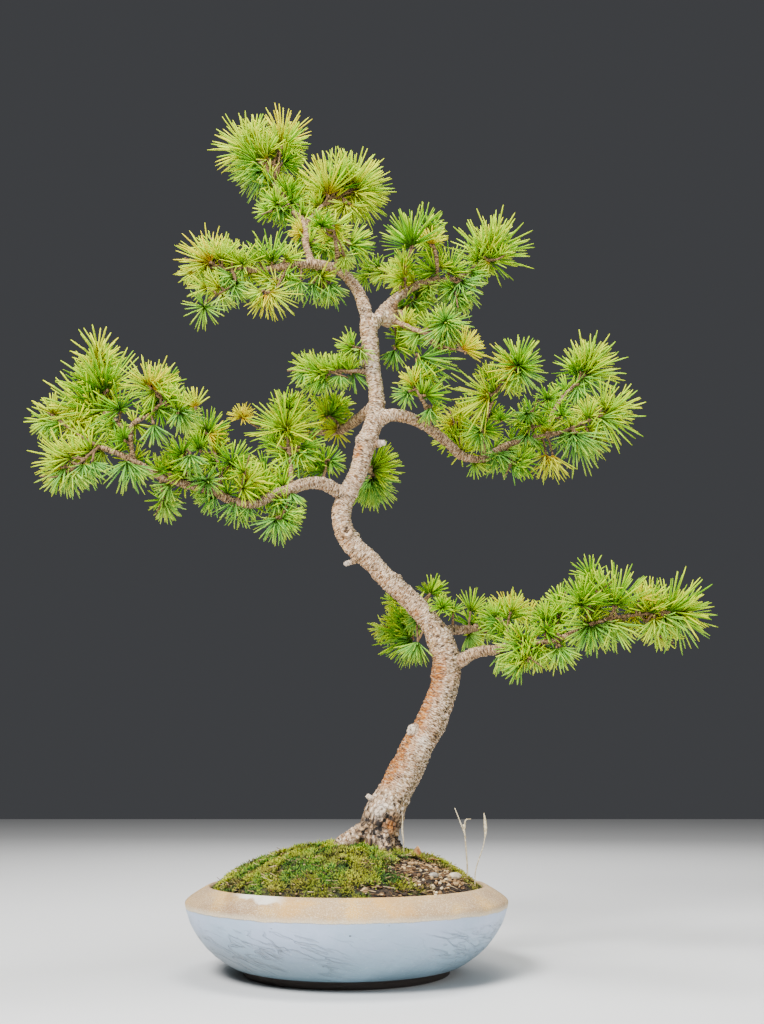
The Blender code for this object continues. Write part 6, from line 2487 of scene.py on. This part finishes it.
    def _leaf(self) -> None:
        """The dry, curled leaf, with a torn edge."""
        low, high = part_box("dry_leaf")
        Bench.pick()
        bpy.ops.mesh.primitive_grid_add(x_subdivisions=26, y_subdivisions=12, size=1)
        leaf = Bench.named("curled_leaf")
        points = Bench.points(leaf)
        y = (low.y + high.y) / 2
        for point in points:
            u, v = point[0] + 0.5, point[1] * 2
            stand = clamp((u - 0.35) / 0.4)
            x = high.x - 1 * MM + (low.x + 4.5 * MM - high.x) * min(1.0, u / 0.62)
            rise = 12.5 * MM * max(0.0, (u - 0.5) / 0.5) ** 1.1
            wide = MM * np.interp(u, [0, 0.15, 0.45, 0.72, 0.9, 1], [0.6, 2.6, 3.6, 4.4, 2.6, 0.2])
            torn = 1 + 0.18 * noise.noise(Vector((u * 6, v, 0)))
            curl = (0.25 + 0.2 * u) * abs(v) ** 2 * wide
            turn = stand * math.radians(72)
            crinkle = 0.3 * MM * noise.noise(Vector((x, v * 3, u * 9)))
            point[:] = (
                x + v * wide * torn * math.sin(turn) - curl * 0.3 * stand,
                y - 2.5 * MM * stand + v * wide * torn * math.cos(turn) - curl * stand,
                low.z + 1.2 * MM + rise + curl * (1 - stand) + crinkle,
            )
        Bench.move(leaf, points)
        Bench.modify(leaf, "SOLIDIFY", thickness=0.35 * MM, offset=0.0)
        Bench.smooth(leaf, 60)
        finish = MottledFinish(
            "dry_leaf", (0.22, 0.065, 0.015), (0.62, 0.35, 0.13), 150, 0.4 * MM, 0.7
        )
        Bench.dress(leaf, finish.material())
        Bench.hand_over(leaf, Slot.LEAF, "dry_leaf")

    def _stalks(self) -> None:
        """Dry grass stalks that stand in the moss."""
        straw = MottledFinish(
            "dry_stalk", (0.42, 0.33, 0.18), (0.74, 0.64, 0.44), 400, 0.2 * MM
        ).material()
        for name, (lines, nodes) in STALKS.items():
            parts = [Route(knots, 2 * MM).tube(f"{name}_{i}", 2) for i, knots in enumerate(lines)]
            stalk = Bench.join(name, parts)
            Bench.outward(stalk)
            Bench.smooth(stalk)
            Bench.dress(stalk, straw)
            Bench.hand_over(stalk, Slot.STALK, *nodes)


# Pot


@dataclass
class Pot:
    """The round stoneware pot, turned in rings and drilled.

    Attributes:
        nodes: the frame's own objects, by node.
        outside: its outer profile from the foot to the lip, (radius, height) in millimetres.
        inside: its inner profile from the lip to the floor.
        segments: how many sides it has.
        drain_radius: the radius of its drain holes.
        drain_offset: how far they are from its axis.
    """

    nodes: dict[str, bpy.types.Object]
    outside: tuple[tuple[float, float], ...] = (
        (94, 0), (95, 0.6), (95.5, 3.5), (95.8, 6), (101, 7.4), (107, 9), (114, 13), (122, 18.5),
        (129.5, 25), (135.5, 32), (140.5, 39), (144.5, 46), (147.2, 53), (149.0, 58.5),
        (149.9, 62.5), (149.7, 64.4), (148.2, 66.3), (144, 69.4), (138, 73.2), (132, 76.6),
        (129.8, 77.7), (128.8, 77.6), (128.0, 76.8),
    )
    inside: tuple[tuple[float, float], ...] = (
        (127, 75.5), (127.3, 73), (133, 66.5), (139, 61), (139.6, 57), (139.5, 53), (136, 45),
        (131, 37.5), (118, 25), (102, 17), (86, 12), (60, 12),
    )
    segments: int = 160
    drain_radius: float = 9 * MM
    drain_offset: float = 48 * MM

    def build(self) -> None:
        """Turns the wall, drills it and dresses it."""
        Bench.pick()
        profile = [(radius * MM, height * MM) for radius, height in (*self.outside, *self.inside)]
        start = profile[0][0]
        bpy.ops.mesh.primitive_circle_add(
            vertices=self.segments, radius=start, fill_type="NOTHING"
        )
        pot = Bench.named("stoneware_pot")
        with Bench.edit(pot):
            Bench.turn(start, profile[1:])
        self._close_foot(pot)
        Bench.outward(pot)
        for side in (-1, 1):
            self._drill(pot, side * self.drain_offset)
        Bench.smooth(pot, 50)
        Bench.dress(pot, PotFinish().material())
        Bench.hand_over(pot, Slot.POT, "pot")
        screen = MottledFinish(
            "plastic_mesh", (0.02, 0.03, 0.02), (0.05, 0.07, 0.05), 900, 0.1 * MM, 0.55
        )
        for node in ("drain_mesh_left", "drain_mesh_right"):
            Bench.dress(self.nodes[node], screen.material())

    @staticmethod
    def _close_foot(pot: bpy.types.Object) -> None:
        """Fills the foot ring with a flat floor."""
        with Bench.edit(pot):
            bpy.ops.mesh.select_all(action="DESELECT")
            bpy.ops.mesh.select_non_manifold()
            bpy.ops.mesh.extrude_region_move()
            bpy.ops.transform.resize(value=(0.6, 0.6, 1), center_override=(0, 0, 0))
            bpy.ops.mesh.extrude_region_move()
            bpy.ops.mesh.merge(type="CENTER")

    def _drill(self, pot: bpy.types.Object, x: float) -> None:
        """Cuts one drain hole through the floor."""
        Bench.pick()
        bpy.ops.mesh.primitive_cylinder_add(
            vertices=32, radius=self.drain_radius, depth=40 * MM, location=(x, 0, 5 * MM)
        )
        drill = Bench.named("drill")
        Bench.settle(drill)
        Bench.modify(pot, "BOOLEAN", operation="DIFFERENCE", object=drill, solver="EXACT")
        Bench.drop([drill])


# Studio


@dataclass
class Studio:
    """The camera at the photograph's angle, soft lights and a plain floor.

    Attributes:
        lens: the camera's focal length, in millimetres.
        place: where the camera stands.
        pitch: how far it looks up, in degrees.
        lights: the name, place, size and power of each light.
        target: what the lights look at.
        room: the colour of the walls.
    """

    lens: float = 40.43
    place: tuple[float, float, float] = (0.0325, -1.130, 0.175)
    pitch: float = 13.0
    lights: tuple[tuple[str, tuple[float, float, float], float, float], ...] = (
        ("key", (-0.85, -1.5, 1.8), 0.7, 116.0),
        ("top", (0.1, -0.2, 2.1), 0.8, 52.0),
        ("fill", (1.4, -1.0, 0.8), 1.2, 14.0),
        ("back", (0.2, 1.5, 1.4), 1.4, 18.0),
    )
    target: tuple[float, float, float] = (0.03, 0.0, 0.45)
    room: Colour = (0.055, 0.057, 0.062)

    def build(self) -> None:
        """Sets the camera, the lights and the floor."""
        Bench.pick()
        tilt = math.radians(90 + self.pitch)
        bpy.ops.object.camera_add(location=self.place, rotation=(tilt, 0, 0))
        camera = bpy.context.active_object
        camera.data.sensor_width = 36.0
        camera.data.lens = self.lens
        bpy.context.scene.camera = camera
        for name, place, size, power in self.lights:
            self._light(name, place, size, power)
        self._world()
        self._floor()

    def _light(
        self, name: str, place: tuple[float, float, float], size: float, power: float
    ) -> None:
        """Adds a soft square light that looks at the tree."""
        aim = Vector(self.target) - Vector(place)
        turn = aim.to_track_quat("-Z", "Y").to_euler()
        bpy.ops.object.light_add(type="AREA", location=place, rotation=turn)
        light = bpy.context.active_object
        light.name = f"{name}_light"
        light.data.size = size
        light.data.energy = power

    def _world(self) -> None:
        """A plain room."""
        world = bpy.data.worlds.new("room")
        world.use_nodes = True
        background = world.node_tree.nodes["Background"]
        background.inputs["Color"].default_value = (*self.room, 1.0)
        background.inputs["Strength"].default_value = 1.0
        bpy.context.scene.world = world

    @staticmethod
    def _floor() -> None:
        """A wide, pale floor under the pot."""
        Bench.pick()
        bpy.ops.mesh.primitive_plane_add(size=8.0, location=(0, 0, 0))
        floor = Bench.named("studio_floor")
        board = Board("floor")
        shade = board.noise(board.place(), 3, 2)
        colour = board.mix(shade * 0.3, (0.72, 0.72, 0.71), (0.66, 0.66, 0.66))
        Bench.dress(floor, board.finish(colour, 0.8))
        floor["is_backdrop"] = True


def main() -> None:
    """Builds each sub-assembly in order."""
    logging.basicConfig(level=logging.INFO, format="%(name)s: %(message)s")
    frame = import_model()
    Bench.pick()
    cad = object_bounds()
    Studio().build()
    Pot(frame["nodes"]).build()
    Ground(Mound()).build()
    Wood().build()
    needles = Needles(cad)
    needles.build()
    Foliage(needles).build()
    needles.clear()
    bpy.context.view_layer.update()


if __name__ == "__main__":
    main()
